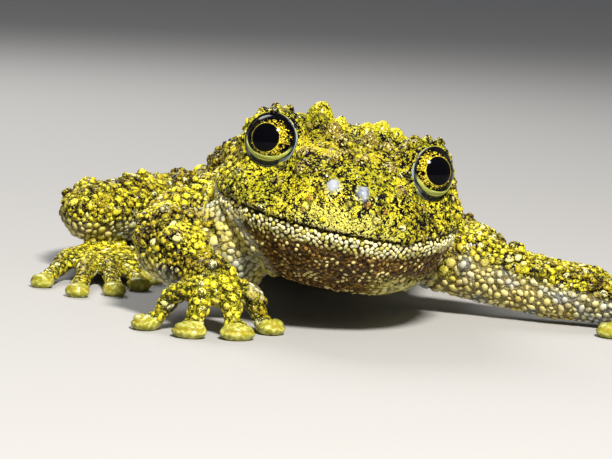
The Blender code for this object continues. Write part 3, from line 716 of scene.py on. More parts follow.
def finish_piece(obj, material, nodes=()):
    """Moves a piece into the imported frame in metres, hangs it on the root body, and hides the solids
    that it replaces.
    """
    move_to(obj.data, (coordinates(obj.data) + SHIFT) * MM)
    obj.data.materials.clear()
    obj.data.materials.append(material)
    obj.data.shade_smooth()
    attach(obj, "root")
    if nodes:
        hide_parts(*nodes)


# The skin


def near_mouth(middle, centre):
    """Whether a face's middle is in front, and near the plane of the mouth."""
    level = (np.array(middle) - centre) @ HEAD_AXES[:, 2]
    return middle.y < -9.0 and abs(middle.x) < 17 and abs(level) < 0.7


def refine(mesh):
    """Halves the faces of the face and the right hand, and lays rows of edges along the mouth."""
    shape = bmesh.new()
    shape.from_mesh(mesh)
    points = coordinates(mesh)
    local = to_head(points)
    face = (local[:, 1] < -2.5) & (local[:, 2] > -4.5) & (local[:, 2] < 14) & (np.abs(local[:, 0]) < 17)
    hand = (points[:, 0] < -7.5) & (points[:, 0] > -27) & (points[:, 1] < -24) & (local[:, 2] < -4.5)
    fine = face | hand
    chosen = [f for f in shape.faces if all(fine[v.index] for v in f.verts)]
    edges = list({e for f in chosen for e in f.edges})
    bmesh.ops.subdivide_edges(shape, edges=edges, cuts=1, use_grid_fill=True)
    for level in (-0.25, 0.0, 0.25):
        centre = from_head((0.0, 0.0, level))
        around = [f for f in shape.faces if near_mouth(f.calc_center_median(), centre)]
        corners = {v for f in around for v in f.verts}
        geometry = {*around, *corners, *(e for f in around for e in f.edges)}
        bmesh.ops.bisect_plane(
            shape, geom=list(geometry), dist=0.02, plane_co=centre, plane_no=HEAD_AXES[:, 2]
        )
    shape.to_mesh(mesh)
    shape.free()
    mesh.update()


def press_eyes(points):
    """Behind each ball the skin is pushed in; round it a roll of lid stands up from the orbit."""
    for side in SIDES:
        middle, axes = eye_frame(side)
        local = (points - middle) @ axes
        x, y, z = local.T
        away = np.hypot(x, y)
        under = np.sqrt(np.clip((EYE_RADIUS - UNDER_BALL) ** 2 - away**2, 0, None)) - EYE_DEPTH
        outside = (away - LID_OPENING) / math.tan(FUNNEL_ANGLE) + 0.05
        rise = eased(away, LID_OPENING - 0.12, LID_OPENING + 0.12)
        ceiling = under * (1 - rise) + outside * rise
        pressed = np.where(away < 9, np.minimum(z, ceiling), z)
        pressed += np.where(z > -2.5, LID_ROLL * bell(away - LID_OPENING - 0.4, 0.32), 0)
        points = middle + np.stack([x, y, pressed], axis=1) @ axes.T
    return points


def over_mouth(local):
    """Height over the line of the mouth, which curves up towards its left corner."""
    return local[:, 2] - MOUTH_CURVE * eased(local[:, 0], 7.0, 15.0)


def before_corners(local):
    """1 in front of the corners of the mouth, 0 behind them."""
    return 1 - eased(local[:, 1], -1.5, 0.8)


def mouth_depth(local):
    """How far the skin moves along its normal at the mouth: a groove between two soft lips."""
    level = over_mouth(local)
    lips = 0.22 * bell(level - 0.6, 0.5) + 0.12 * bell(level + 0.9, 0.6)
    return before_corners(local) * (lips - 0.5 * bell(level, GROOVE))


def is_head(points, local):
    """1 on the head and throat, 0 on the trunk and limbs."""
    ahead = 1 - eased(local[:, 1], 1.0, 5.0)
    across = 1 - eased(np.abs(local[:, 0]), 16.6, 17.2)
    above = eased(local[:, 2], -10.5, -9.5)
    away_from_arm = 1 - eased(-points[:, 0] - 0.5 * points[:, 1], 25.5, 27)
    return ahead * across * above * away_from_arm


def disc_marks(points):
    """Where the discs are, and the crease that runs across each and round its edge."""
    pads, crease = np.zeros(len(points)), np.zeros(len(points))
    for root, pad, width in all_digits():
        local, along = points - (*pad, 0.0), unit(pad - root[:2])
        ahead = local[:, :2] @ along
        across = local[:, :2] @ (-along[1], along[0])
        away = np.hypot((ahead - 0.1) / 0.52, across / 0.58) / width
        inside = (1 - eased(away, 0.9, 1.05)) * (local[:, 2] < 2.1 + 0.35 * np.minimum(ahead, 0))
        pads = np.maximum(pads, inside)
        line = bell(ahead - 0.1 - 0.12 * across**2 / width, 0.16)
        line *= 1 - eased(np.abs(across), 0.3 * width, 0.42 * width)
        rim = bell(local[:, 2] - 1.15, 0.2) * (away > 0.55) * eased(ahead, -0.2, 0.3)
        crease = np.maximum(crease, inside * np.maximum(line, rim))
    return pads, crease


def jaw_fold(points):
    """The chest side of the fold from the right corner of the mouth to the throat, and the fold."""
    start, end = np.array(FOLD)
    length = np.linalg.norm(end - start)
    along = (end - start) / length
    local = points[:, (0, 2)] - start
    ahead = local @ along
    aside = local @ (-along[1], along[0])
    near = (points[:, 0] < 0) & (points[:, 1] < -6) & (points[:, 2] < 17)
    chest = near * (1 - eased(aside, -0.4, 0.4))
    within = eased(ahead, -1, 1) * (1 - eased(ahead, length - 2, length))
    return chest, near * bell(aside, 0.4) * within


def digit_mask(points):
    """1 on fingers and toes, where the skin is smoother."""
    total = np.zeros(len(points))
    for root, pad, _ in all_digits():
        along = (*pad, 0.8) - root
        t = np.clip((points - root) @ along / (along @ along), 0.1, 1)
        total = np.maximum(total, 1 - eased(distance(points, root + t[:, None] * along), 2.2, 3.4))
    return total


def sided(parts):
    """The names of the right and the left node of each part."""
    return [f"{part}_{side}" for part in parts for side in SIDES]


def solid_warts(points, normal):
    """Where the solids' own warts stand on the smooth skin, and how far the tip of each stands out.

    The corners of the solids are taken from the farthest out, each clear of those before it.
    """
    solids = [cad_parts[name].data for name in ("torso", *sided(WARTY_PARTS))]
    corners = np.vstack([coordinates(mesh) for mesh in solids]) / MM - SHIFT
    tree = search_tree(points)
    nearest = np.array([tree.find(corner)[1] for corner in corners])
    rise = ((corners - points[nearest]) * normal[nearest]).sum(axis=1)
    order = np.argsort(-rise)
    order = order[rise[order] > WART_LEAST]
    chosen = order[spread_out(corners[order], np.full(len(order), WART_APART))]
    return points[nearest[chosen]], rise[chosen]


def head_warts(local):
    """The named warts, each on the skin's point nearest to it: blunt on the crown, keener in front."""
    highest = np.zeros(len(local))
    for x, y, z, radius, height in HEAD_WARTS:
        middle = local[np.argmin(distance(local, (x, y, z)))]
        highest = np.maximum(highest, height * dome(local, middle, radius, 0.65 if y > -5 else 1.1))
    return highest


def body_warts(points, normal, middling):
    """The solids' own warts, others between them, and only low ones underneath."""
    own = np.zeros(len(points))
    for spot, rise in zip(*solid_warts(points, normal)):
        own = np.maximum(own, rise * dome(points, spot, WART_BREADTH * rise, 0.8))
    limb = eased(np.abs(points[:, 0]), 17.5, 19)
    large = LARGE_HEIGHT * knobs(points, *LARGE_WARTS)
    large *= (1 - 0.12 * limb) * (1 - eased(own, 0.0, 0.5))
    top = eased(normal[:, 2], -0.6, 0.15)
    scattered = np.maximum(large, middling) * top + 0.35 * middling * (1 - top)
    return np.maximum(scattered, own)


def eye_room(points):
    """0 on the lids round each eye, where nothing else is raised, and 1 elsewhere."""
    room = np.ones(len(points))
    for side in SIDES:
        middle, axes = eye_frame(side)
        away = (points - middle) @ axes
        room *= eased(np.hypot(away[:, 0], away[:, 1]), 3.2, 4.0) + (away[:, 2] < -3)
    return np.clip(room, 0, 1)


def ear_relief(local):
    """A low ring round each ear disc, with a dip in its middle."""
    relief = np.zeros(len(local))
    for ear in EARS:
        away = distance(local, ear)
        relief += 0.45 * bell(away - EAR_RADIUS, 0.4)
        relief -= 0.3 * bell(away, 1.3)
    return relief


def sculpt(mesh):
    """Presses and raises the cast skin into lids, lips, nostrils, ears, warts and folds."""
    points = press_eyes(coordinates(mesh))
    move_to(mesh, points)
    local, normal = to_head(points), normals(mesh)
    head, digits, room = is_head(points, local), digit_mask(points), eye_room(points)

    named = head_warts(local)
    lumps = np.clip(named / 1.2, 0, 1) * (local[:, 1] > -5.5) * (local[:, 2] > 8)
    squeezed, nostrils = local * NOSTRIL_SHAPE, NOSTRILS * NOSTRIL_SHAPE
    nose = near_any(squeezed, nostrils, 0.5, 0.9)
    middling = MIDDLING_HEIGHT * knobs(points, *MIDDLING_WARTS)
    small = SMALL_HEIGHT * knobs(points, *SMALL_WARTS) * (1 - nose) * (1 - 0.8 * lumps)
    between = middling * 0.65 * eased(local[:, 2], 1.5, 5.0) * (1 - near_any(local, NOSTRILS, 1.2, 0.8))
    on_head = np.maximum(between, named)
    on_body = body_warts(points, normal, middling)
    folds = 0.16 * waves(points * (1.0, 0.45, 1.0), 2.2, 71) + 0.1 * waves(points, 1.1, 72)
    wrinkles = 0.12 * waves(local * (0.35, 0.35, 1.6), 0.9, 81) * eased(-local[:, 2], 1.4, 2.6)

    body = (1 - head) * (1 - digits)
    move = mouth_depth(local) * head
    move += room * (head * (on_head + small) + body * on_body)
    move += NOSTRIL_RISE * near_any(squeezed, nostrils, 0.2, 1.1) * head + ear_relief(local)
    move += body * folds + head * wrinkles
    move += FOLD_RISE * jaw_fold(points)[1] - CREASE_DEPTH * disc_marks(points)[1]
    points = points + normal * move[:, None]
    points[:, 2] = np.maximum(points[:, 2], 0.0)
    move_to(mesh, points)

    marks = skin_marks(points, local, normal, head, digits)
    ahead = eased(-local[:, 1], 5.0, 6.5)
    high = head * ahead * (1 - eased(np.abs(local[:, 0]), 6.0, 9.0))
    ungrooved = 1 - eased(marks["groove"], 0.2, 0.6)
    marks |= {
        "head": head,
        "digits": digits,
        "lump": lumps,
        "nose": nose * head,
        "rosy": near_any(local, ROSY_WARTS, 0.12, 0.32) * head,
        "wart": np.clip(np.where(head > 0.5, on_head * ahead, 0.6 * on_body) / 0.9, 0, 1),
        "brow": high * eased(local[:, 2], 4.0, 6.0),
        "crown": high * eased(local[:, 2], 7.0, 9.0),
        "room": room * (1 - near_any(local, NOSTRILS, 0.9, 0.3)) * ungrooved,
    }
    for name, values in marks.items():
        mark(mesh, name, values)


def skin_marks(points, local, normal, head, digits):
    """Marks from 0 to 1 of mouth, throat and underside, the fold, and the discs with their creases."""
    pads, crease = disc_marks(points)
    chest, fold = jaw_fold(points)
    level = over_mouth(local)
    front = head * before_corners(local)
    low = head * eased(-local[:, 2], 1.6, 2.4)
    left_low = eased(local[:, 0], 4.0, 8.0) * eased(-local[:, 2], 4.0, 6.0)

    left_arm = eased(points[:, 0], 14, 18) * (1 - eased(points[:, 1], -6, -3))
    left_arm *= eased(normal @ LEFT_ARM_FRONT, 0.35, 0.75)
    armpit = 1 - eased(distance((points - ARMPIT) / ARMPIT_RADII, 0.0), 1.05, 1.25)
    armpit *= 0.8 * eased(normal[:, 0] + 0.35 * waves(points, 2.0, 91), -0.35, 0.35)
    pale = np.maximum(1 - eased(normal[:, 2], -0.8, 0.0), np.maximum(left_arm, armpit))
    pale *= (1 - head) * (1 - 0.7 * digits)
    pale = np.maximum(pale, low * np.maximum(0.75 * chest, 0.4 * left_low))

    around = np.hypot((local[:, 0] - 0.5) / 7.5, level / 3.6)
    return {
        "throat": head * eased(-level, 1.3, 2.4) * (1 - chest) * (1 - 0.9 * left_low),
        "lip": front * (eased(-level, 0.1, 0.35) - eased(-level, 1.5, 2.4)),
        "groove": front * bell(level, GROOVE),
        "rim": front * (eased(level, 0.12, 0.25) - eased(level, 0.45, 0.8)),
        "muzzle": front * eased(level, 0.2, 0.8) * (1 - eased(around, 0.75, 1.15)),
        "pale": pale,
        "fold": fold,
        "cheek": low * np.maximum(chest, left_low),
        "pads": pads,
        "crease": crease,
    }


def cast_skin():
    """One closed skin round every surface of the frog, relaxed, refined on the face, and sculpted."""
    cast = new_object("cast", *merged(frog_surfaces()))
    unite = cast.modifiers.new("unite", "REMESH")
    unite.mode = "VOXEL"
    unite.voxel_size = VOXEL
    mesh = settled(cast)
    relax(mesh, SMOOTHING_ROUNDS, 0.5 - 0.38 * digit_mask(coordinates(mesh)))
    refine(mesh)
    relax(mesh, 3, 0.4 - 0.25 * digit_mask(coordinates(mesh)))
    sculpt(mesh)
    mesh.name = "skin"
    return linked("skin", mesh)


# Granules


def values_of(mesh, name):
    """The numbers that mark has kept."""
    return rows_of(mesh.attributes[name].data, "value", 1, np.float32)[:, 0].astype(float)


def drawn_places(mesh, density, seed):
    """Places on the mesh's triangles, so many to a square millimetre, each as corners and weights.

    A triangle's corners weigh 1 - sqrt(u), sqrt(u) (1 - v) and sqrt(u) v for random u and v.
    """
    mesh.calc_loop_triangles()
    corners = rows_of(mesh.loop_triangles, "vertices", 3, int)
    a, b, c = (coordinates(mesh)[corners] / MM).transpose(1, 0, 2)
    area = np.linalg.norm(np.cross(b - a, c - a), axis=1) / 2
    reach = np.cumsum(area * density[corners].mean(axis=1))
    draw = np.random.default_rng(seed)
    u, v, w = draw.random((3, int(reach[-1])))
    chosen = corners[np.searchsorted(reach / reach[-1], w)]
    u = np.sqrt(u)
    return chosen, np.stack([1 - u, u * (1 - v), u * v], axis=1)


def spread_out(points, spacing):
    """Goes through the places in order and keeps each that is clear of those kept before it."""
    tree, free = search_tree(points), np.ones(len(points), bool)
    kept = []
    for k, point in enumerate(points):
        if free[k]:
            kept.append(k)
            free[[near for _, near, _ in tree.find_range(point, spacing[k])]] = False
    return np.array(kept)


# A granule's outline from its root up: share of its radius, share of its height
DOME_PROFILE = ((0.95, -0.6), (0.95, 0.35), (0.55, 0.86))


def domes(name, centres, up, radius, height, stretch, seed):
    """A joined mesh of closed domes: centre + share r (k cos t side + sin t other / k) + level h up.

    Each is turned by its own random angle about its up axis, and k is its stretch.
    """
    around, count = 6, len(centres)
    helper = np.where(np.abs(up[:, 2:]) < 0.9, (0.0, 0.0, 1.0), (1.0, 0.0, 0.0))
    side = unit(np.cross(up, helper))
    other = np.cross(up, side)
    turn = 2 * math.pi * np.random.default_rng(seed).random(count)[:, None]
    c, s = np.cos(turn), np.sin(turn)
    side, other = c * side + s * other, c * other - s * side
    t = round_angles(around)[None, :, None]
    k = stretch[:, None, None]
    ring = radius[:, None, None] * (k * np.cos(t) * side[:, None] + np.sin(t) * other[:, None] / k)
    rise = (height[:, None] * up)[:, None]
    rows = [centres[:, None] + share * ring + level * rise for share, level in DOME_PROFILE]
    low, high = centres[:, None] - rise, centres[:, None] + rise
    points = np.concatenate([*rows, low, high], axis=1)
    points[..., 2] = np.maximum(points[..., 2], 0.0)
    _, faces = wrapped(np.zeros((len(DOME_PROFILE), around, 3)), np.zeros(3), np.zeros(3))
    quads = np.array([face for face in faces if len(face) == 4])
    fans = np.array([face for face in faces if len(face) == 3])
    first = np.arange(count)[:, None, None] * points.shape[1]
    loops = np.concatenate([(quads + first).ravel(), (fans + first).ravel()])
    sizes = np.concatenate([np.full(len(quads) * count, 4), np.full(len(fans) * count, 3)])
    mesh = bpy.data.meshes.new(name)
    mesh.vertices.add(points.shape[0] * points.shape[1])
    mesh.vertices.foreach_set("co", points.ravel())
    mesh.loops.add(len(loops))
    mesh.loops.foreach_set("vertex_index", loops)
    mesh.polygons.add(len(sizes))
    mesh.polygons.foreach_set("loop_start", np.cumsum(sizes) - sizes)
    mesh.update(calc_edges=True)
    levels = [level for _, level in DOME_PROFILE for _ in range(around)] + [-1.0, 1.0]
    mark(mesh, "rise", np.tile(levels, count))
    return linked(name, mesh)


# Marks of the skin that its granules carry
CARRIED = ("throat", "lip", "pale", "crown", "rosy", "head")
# Radius of most granules to the distance between them
CLOSENESS = 0.62
# Places tried for each granule, so that few gaps are left
TRIES = 6.0


def granules_on(mesh, name, pitch, radius, height, keep, seed, first=None):
    """Domes over the part of the skin where keep is above a half, with the skin's marks on them.

    Pitch, radius and height are arrays over the skin's points, in millimetres. Places where first
    is lowest are filled before the others, which sets the domes in rows.
    """
    density = np.where(keep > 0.5, TRIES / pitch**2, 0.0)
    corners, weights = drawn_places(mesh, density, seed)

    def there(values):
        return np.einsum("ij,ij...->i...", weights, values[corners])

    draw = np.random.default_rng(seed + 1)
    size = draw.random(len(corners))
    # In rows the sizes are nearly even; elsewhere a few granules are twice as big as the rest
    size = 0.76 + 0.84 * size**10 if first is None else 0.9 + 0.2 * size
    order = np.argsort(-size if first is None else there(first))
    corners, weights, size = corners[order], weights[order], size[order]
    points = there(coordinates(mesh) / MM - SHIFT)
    kept = spread_out(points, there(pitch) * size)
    corners, weights, size, points = corners[kept], weights[kept], size[kept], points[kept]
    up = unit(there(normals(mesh)))
    stretch = 1 + 0.35 * draw.random(len(points))
    tone = draw.random(len(points))
    obj = domes(name, points, up, there(radius) * size, there(height) * size, stretch, seed + 2)
    per_dome = len(obj.data.vertices) // len(points)
    mark(obj.data, "tone", np.repeat(tone, per_dome))
    for carried in CARRIED:
        mark(obj.data, carried, np.repeat(there(values_of(mesh, carried)), per_dome))
    return obj


def make_granules():
    """Close domes on the head, the lower lip and throat, the trunk and the limbs."""
    mesh = bpy.data.objects["skin"].data
    points = coordinates(mesh) / MM - SHIFT
    local = to_head(points)
    names = ("head", "lip", "pads", "digits", "room", "pale", "cheek", "fold", "lump")
    head, lip, pads, digits, room, pale, cheek, fold, lump = (values_of(mesh, name) for name in names)
    depth = -over_mouth(local)

    face = (head > 0.5) & (depth < -0.35) & (room > 0.6) & (lump < 0.3)
    margin = (local[:, 2] < 2.2) | (np.abs(local[:, 0]) > 12.0) | (local[:, 1] > -2)
    below = (depth > 0.28) & (head > 0.5)
    band = below & (room > 0.6) & (local[:, 1] < -1) & (cheek < 0.5)
    chest = below & (cheek > 0.5) & (fold < 0.4)
    trunk = (head <= 0.5) & (np.abs(points[:, 0]) < 17.3) & (points[:, 2] > 3)
    limbs = (head <= 0.5) & ~trunk & (pads < 0.2)
    arms = limbs & (points[:, 1] < -1)

    lip_radius = 0.26 + 0.06 * lip
    trunk_pitch = 0.84 - 0.06 * pale
    arm_pitch = (0.64 - 0.08 * digits) * (1 - 0.12 * pale)
    leg_pitch = (0.72 - 0.12 * digits) * (1 - 0.12 * pale)
    limb_height = (0.28 - 0.16 * digits) * (1 - 0.3 * pale)
    # Distance apart, radius, height, where they grow, seed, and what sets them in rows
    pieces = {
        "head": (np.where(margin, 0.72, 2.1), np.where(margin, 0.38, 0.34), 0.17, face, 301, None),
        "lip": (0.5 + 0.08 * (1 - lip), lip_radius, 0.5 * lip_radius, band, 311, depth),
        "jaw": (0.8, 0.48, 0.26, chest, 315, points[:, 2]),
        "trunk": (trunk_pitch, CLOSENESS * trunk_pitch, 0.28, trunk, 321, None),
        "arms": (arm_pitch, CLOSENESS * arm_pitch, limb_height, arms, 331, None),
        "legs": (leg_pitch, CLOSENESS * leg_pitch, limb_height, limbs & ~arms, 341, None),
    }
    one = np.ones(len(points))
    return [
        granules_on(mesh, f"granules_{name}", pitch * one, radius * one, height * one, keep, seed, rows)
        for name, (pitch, radius, height, keep, seed, rows) in pieces.items()
    ]


# Materials


class Graph:
    """Adds nodes to a tree and wires them, so that a finish reads as nested calls."""

    def __init__(self, tree):
        self.tree = tree

    def feed(self, socket, value):
        """Links another node's output to a socket, or sets the socket itself."""
        if isinstance(value, bpy.types.NodeSocket):
            self.tree.links.new(value, socket)
        elif socket.type == "RGBA":
            socket.default_value = (*value, 1.0)
        else:
            socket.default_value = value

    def fill(self, node, values):
        """Feeds a node's inputs, given by name or number."""
        for key, value in dict(values).items():
            self.feed(node.inputs[key], value)

    def add(self, kind, values=(), output=0, **settings):
        node = self.tree.nodes.new(kind)
        for name, value in settings.items():
            setattr(node, name, value)
        self.fill(node, values)
        return node.outputs[output]

    def math(self, operation, *values):
        return self.add("ShaderNodeMath", enumerate(values), operation=operation)

    def plus(self, a, b):
        return self.math("ADD", a, b)

    def minus(self, a, b):
        return self.math("SUBTRACT", a, b)

    def times(self, a, b):
        return self.math("MULTIPLY", a, b)

    def higher(self, a, b):
        return self.math("MAXIMUM", a, b)

    def vector(self, operation, *values, output="Vector"):
        return self.add("ShaderNodeVectorMath", enumerate(values), output, operation=operation)

    def mix(self, factor, a, b):
        return self.add("ShaderNodeMix", {0: factor, 6: a, 7: b}, 2, data_type="RGBA")

    def blend(self, a, b, value, low, high, start=0.0, end=1.0):
        """From a towards b, by start to end of the way, as the value goes from low to high."""
        return self.mix(self.eased(value, low, high, start, end), a, b)

    def between(self, factor, a, b):
        return self.add("ShaderNodeMix", {0: factor, 2: a, 3: b}, data_type="FLOAT")

    def eased(self, value, low, high, start=0.0, end=1.0):
        """From start to end as the value goes from low to high."""
        levels = {"Value": value, "From Min": low, "From Max": high, "To Min": start, "To Max": end}
        return self.add("ShaderNodeMapRange", levels, interpolation_type="SMOOTHSTEP")

    def attribute(self, name, output="Fac"):
        return self.add("ShaderNodeAttribute", output=output, attribute_name=name)

    def marked(self, name, strength):
        """A mark of the surface, with this strength where it is full."""
        return self.times(self.attribute(name), strength)

    def layered(self, colour, layers):
        """Lays over a colour, in order, the colour of each mark with its strength."""
        for name, strength, over in layers:
            colour = self.mix(self.marked(name, strength), colour, over)
        return colour

    def place(self):
        return self.add("ShaderNodeTexCoord", output="Object")

    def noise(self, vector, size, detail=2.0, output="Fac"):
        levels = {"Vector": vector, "Scale": 1 / (size * MM), "Detail": detail}
        return self.add("ShaderNodeTexNoise", levels, output)

    def cell_edges(self, vector, scale):
        """How far the place is from the nearest edge between cells."""
        levels = {"Vector": vector, "Scale": scale}
        return self.add("ShaderNodeTexVoronoi", levels, "Distance", feature="DISTANCE_TO_EDGE")

    def bump(self, height, strength, depth, normal=None):
        levels = {"Height": height, "Strength": strength, "Distance": depth * MM}
        if normal is not None:
            levels["Normal"] = normal
        return self.add("ShaderNodeBump", levels)


def moss_group():
    """Mossy colouring over a place, all of it from 0 to 1.

    Fleck is 1 on short dark marks: furrows between warped cells, which a second noise breaks up, and
    blots. Patch and Brown drift over several millimetres, Fine is a close grain, and Dome is the
    height of the cells.
    """
    made = bpy.data.node_groups.get("moss")
    if made is not None:
        return made
    made = bpy.data.node_groups.new("moss", "ShaderNodeTree")
    made.interface.new_socket("Vector", in_out="INPUT", socket_type="NodeSocketVector")
    for name, default in (("Cell Size", 0.46), ("Boldness", 0.0)):
        socket = made.interface.new_socket(name, in_out="INPUT", socket_type="NodeSocketFloat")
        socket.default_value = default
    for name in ("Fleck", "Patch", "Brown", "Fine", "Dome"):
        made.interface.new_socket(name, in_out="OUTPUT", socket_type="NodeSocketFloat")
    graph = Graph(made)
    entry = made.nodes.new("NodeGroupInput").outputs
    place = entry["Vector"]
    centred = graph.vector("SUBTRACT", graph.noise(place, 0.4, output="Color"), (0.5, 0.5, 0.5))
    sway = (0.4 * MM, 0.4 * MM, 0.4 * MM)
    warped = graph.vector("MULTIPLY_ADD", centred, sway, place)
    edge = graph.cell_edges(warped, graph.math("DIVIDE", 1 / MM, entry["Cell Size"]))
    patch = graph.noise(place, 6.0, 3.0)
    boldness = graph.plus(entry["Boldness"], graph.eased(patch, 0.35, 0.65, -0.02, 0.07))
    clumps = graph.eased(graph.noise(place, 2.2), 0.36, 0.62, -0.08, 0.03)
    boldness = graph.plus(boldness, clumps)
    broken = graph.eased(graph.noise(place, 0.7), 0.38, 0.66, -0.12, 0.16)
    width = graph.plus(broken, boldness)
    line = graph.eased(edge, width, graph.plus(width, 0.04), 1.0, 0.0)
    low = graph.minus(0.575, graph.times(boldness, 0.4))
    blot = graph.eased(graph.noise(warped, 0.36, 1.0), low, graph.plus(low, 0.022))
    outputs = {
        "Fleck": graph.higher(line, blot),
        "Patch": graph.eased(patch, 0.4, 0.62),
        "Brown": graph.eased(graph.noise(place, 3.2), 0.54, 0.7),
        "Fine": graph.noise(place, 0.26),
        "Dome": graph.eased(edge, 0.0, 0.36),
    }
    graph.fill(made.nodes.new("NodeGroupOutput"), outputs)
    return made


def moss_at(graph, place, cell_size, boldness):
    """Places the moss group and returns its outputs."""
    node = graph.tree.nodes.new("ShaderNodeGroup")
    node.node_tree = moss_group()
    graph.fill(node, {"Vector": place, "Cell Size": cell_size, "Boldness": boldness})
    return node.outputs


def new_material(name):
    """A material with its tree's graph and its Principled shader."""
    made = bpy.data.materials.new(name)
    made.use_nodes = True
    return made, Graph(made.node_tree), made.node_tree.nodes["Principled BSDF"]


def moss_hue(graph, look, moss):
    """Yellow to green in slow patches, with olive-brown ones, the most of them on crown and body."""
    head = graph.attribute("head")
    hue = graph.mix(moss["Patch"], look.yellow, look.green)
    brown = graph.times(moss["Brown"], graph.between(head, 0.8, 0.45))
    brown = graph.higher(brown, graph.marked("crown", 0.35))
    broad = graph.eased(graph.noise(graph.place(), 6.0, 3.0), 0.47, 0.6, 0.0, 0.75)
    brown = graph.higher(brown, graph.times(broad, graph.between(head, 1.0, 0.0)))
    return graph.mix(brown, hue, look.olive)


def pale_hue(graph, look, place):
    """Cream with bluish and olive patches, for the underside."""
    hue = graph.blend(look.cream, look.bluish, graph.noise(place, 5.0), 0.42, 0.6)
    return graph.blend(hue, look.olive, graph.noise(place, 2.4, 3.0), 0.54, 0.64, 0.0, 0.6)


def skin_material(look):
    """Yellow-green skin with black flecks, painted shade between the granules and round the bases of
    warts, painted glints on the tops of its cells, glossy on the discs.
    """
    made, graph, shader = new_material("mossy_skin")
    place, wart, clear = graph.place(), graph.attribute("wart"), 0.0
    for name, strength in (("lump", 0.16), ("muzzle", 0.07), ("wart", 0.06), ("brow", 0.05)):
        clear = graph.plus(clear, graph.marked(name, strength))
    moss = moss_at(graph, place, 0.44, graph.minus(0.035, clear))
    fleck, fine, dome_height = moss["Fleck"], moss["Fine"], moss["Dome"]
    tip = graph.blend(look.wart, look.wart_light, fine, 0.53, 0.6)
    hue = graph.blend(moss_hue(graph, look, moss), tip, wart, 0.2, 0.6, 0.0, 0.85)
    hue = graph.blend(hue, look.olive, fine, 0.35, 0.5, 0.5, 0.0)
    # Painted highlight: the glint colour on the tops of the cells, where the fine grain is high, stands
    # in for wet glints.
    light = graph.times(graph.eased(dome_height, 0.7, 0.95), graph.eased(fine, 0.56, 0.62))
    hue = graph.mix(graph.times(light, 0.6), hue, look.glint)
    hue = graph.layered(hue, (("muzzle", 0.45, look.muzzle), ("rim", 0.7, look.cream)))
    # Painted shade: a dark ring round the base of each wart, laid in black together with the flecks.
    ring = graph.times(graph.eased(wart, 0.0, 0.08), graph.eased(wart, 0.1, 0.3, 0.75, 0.0))
    colour = graph.mix(graph.higher(fleck, ring), hue, look.black)

    # Painted shade: the skin between the pale granules is mostly the dark shade colour.
    under = graph.blend(pale_hue(graph, look, place), look.shade, fine, 0.3, 0.6, 0.85, 0.5)
    mottle = graph.noise(place, 1.4, 3.0)
    crinkle = graph.noise(graph.vector("MULTIPLY", place, (0.5, 0.7, 1.3)), 0.42, 3.0)
    # Painted shade in the hollows of the throat's wrinkles; the mottles after it are the throat's own
    # dark brown.
    throat = graph.blend(look.shade, look.throat, crinkle, 0.42, 0.58)
    throat = graph.blend(throat, look.shade, mottle, 0.45, 0.62, 0.0, 0.75)
    stem = graph.mix(graph.times(fleck, 0.85), look.green, look.black)
    disc = graph.blend(look.disc, look.disc_light, graph.noise(place, 0.55, 3.0), 0.42, 0.62)
    disc = graph.mix(graph.marked("crease", 0.7), disc, look.olive)
    nose = graph.blend(look.nose, look.nose_light, mottle, 0.4, 0.6)
    layers = (
        ("pale", 1.0, under),
        ("throat", 1.0, throat),
        # Painted shade: the lower lip's skin, under the upper lip and between its granules.
        ("lip", 1.0, look.shade),
        ("digits", 0.7, stem),
        ("pads", 1.0, disc),
        ("fold", 0.7, look.bluish),
        ("nose", 1.0, nose),
        ("rosy", 0.7, look.rosy),
        ("groove", 1.0, look.mouth),
    )
    pads = graph.attribute("pads")
    # Painted shade: skin between the granules of trunk and limbs is darkened toward black; head, discs
    # and pale skin are left out.
    bare = graph.higher(graph.higher(graph.attribute("head"), pads), graph.attribute("pale"))
    shade_between_granules = graph.times(graph.minus(1.0, bare), 0.3)
    colour = graph.mix(shade_between_granules, graph.layered(colour, layers), look.black)

    rough = graph.eased(fine, 0.3, 0.7, 0.42, 0.6)
    shine = graph.times(graph.minus(1.0, fleck), 0.3)
    plain = graph.higher(pads, graph.attribute("nose"))
    rugged = graph.minus(1.0, graph.times(plain, 0.95))
    relief = graph.bump(graph.times(dome_height, rugged), 1.0, 0.2)
    relief = graph.bump(graph.times(crinkle, graph.attribute("throat")), 1.0, 0.35, relief)
    levels = {
        "Base Color": colour,
        "Roughness": graph.between(pads, rough, 0.24),
        "Specular IOR Level": 0.04,
        "Coat Weight": graph.higher(shine, graph.times(pads, 0.35)),
        "Coat Roughness": 0.22,
        "Normal": graph.bump(graph.times(fine, rugged), 0.6, 0.12, relief),
    }
    graph.fill(shader, levels)
    return made


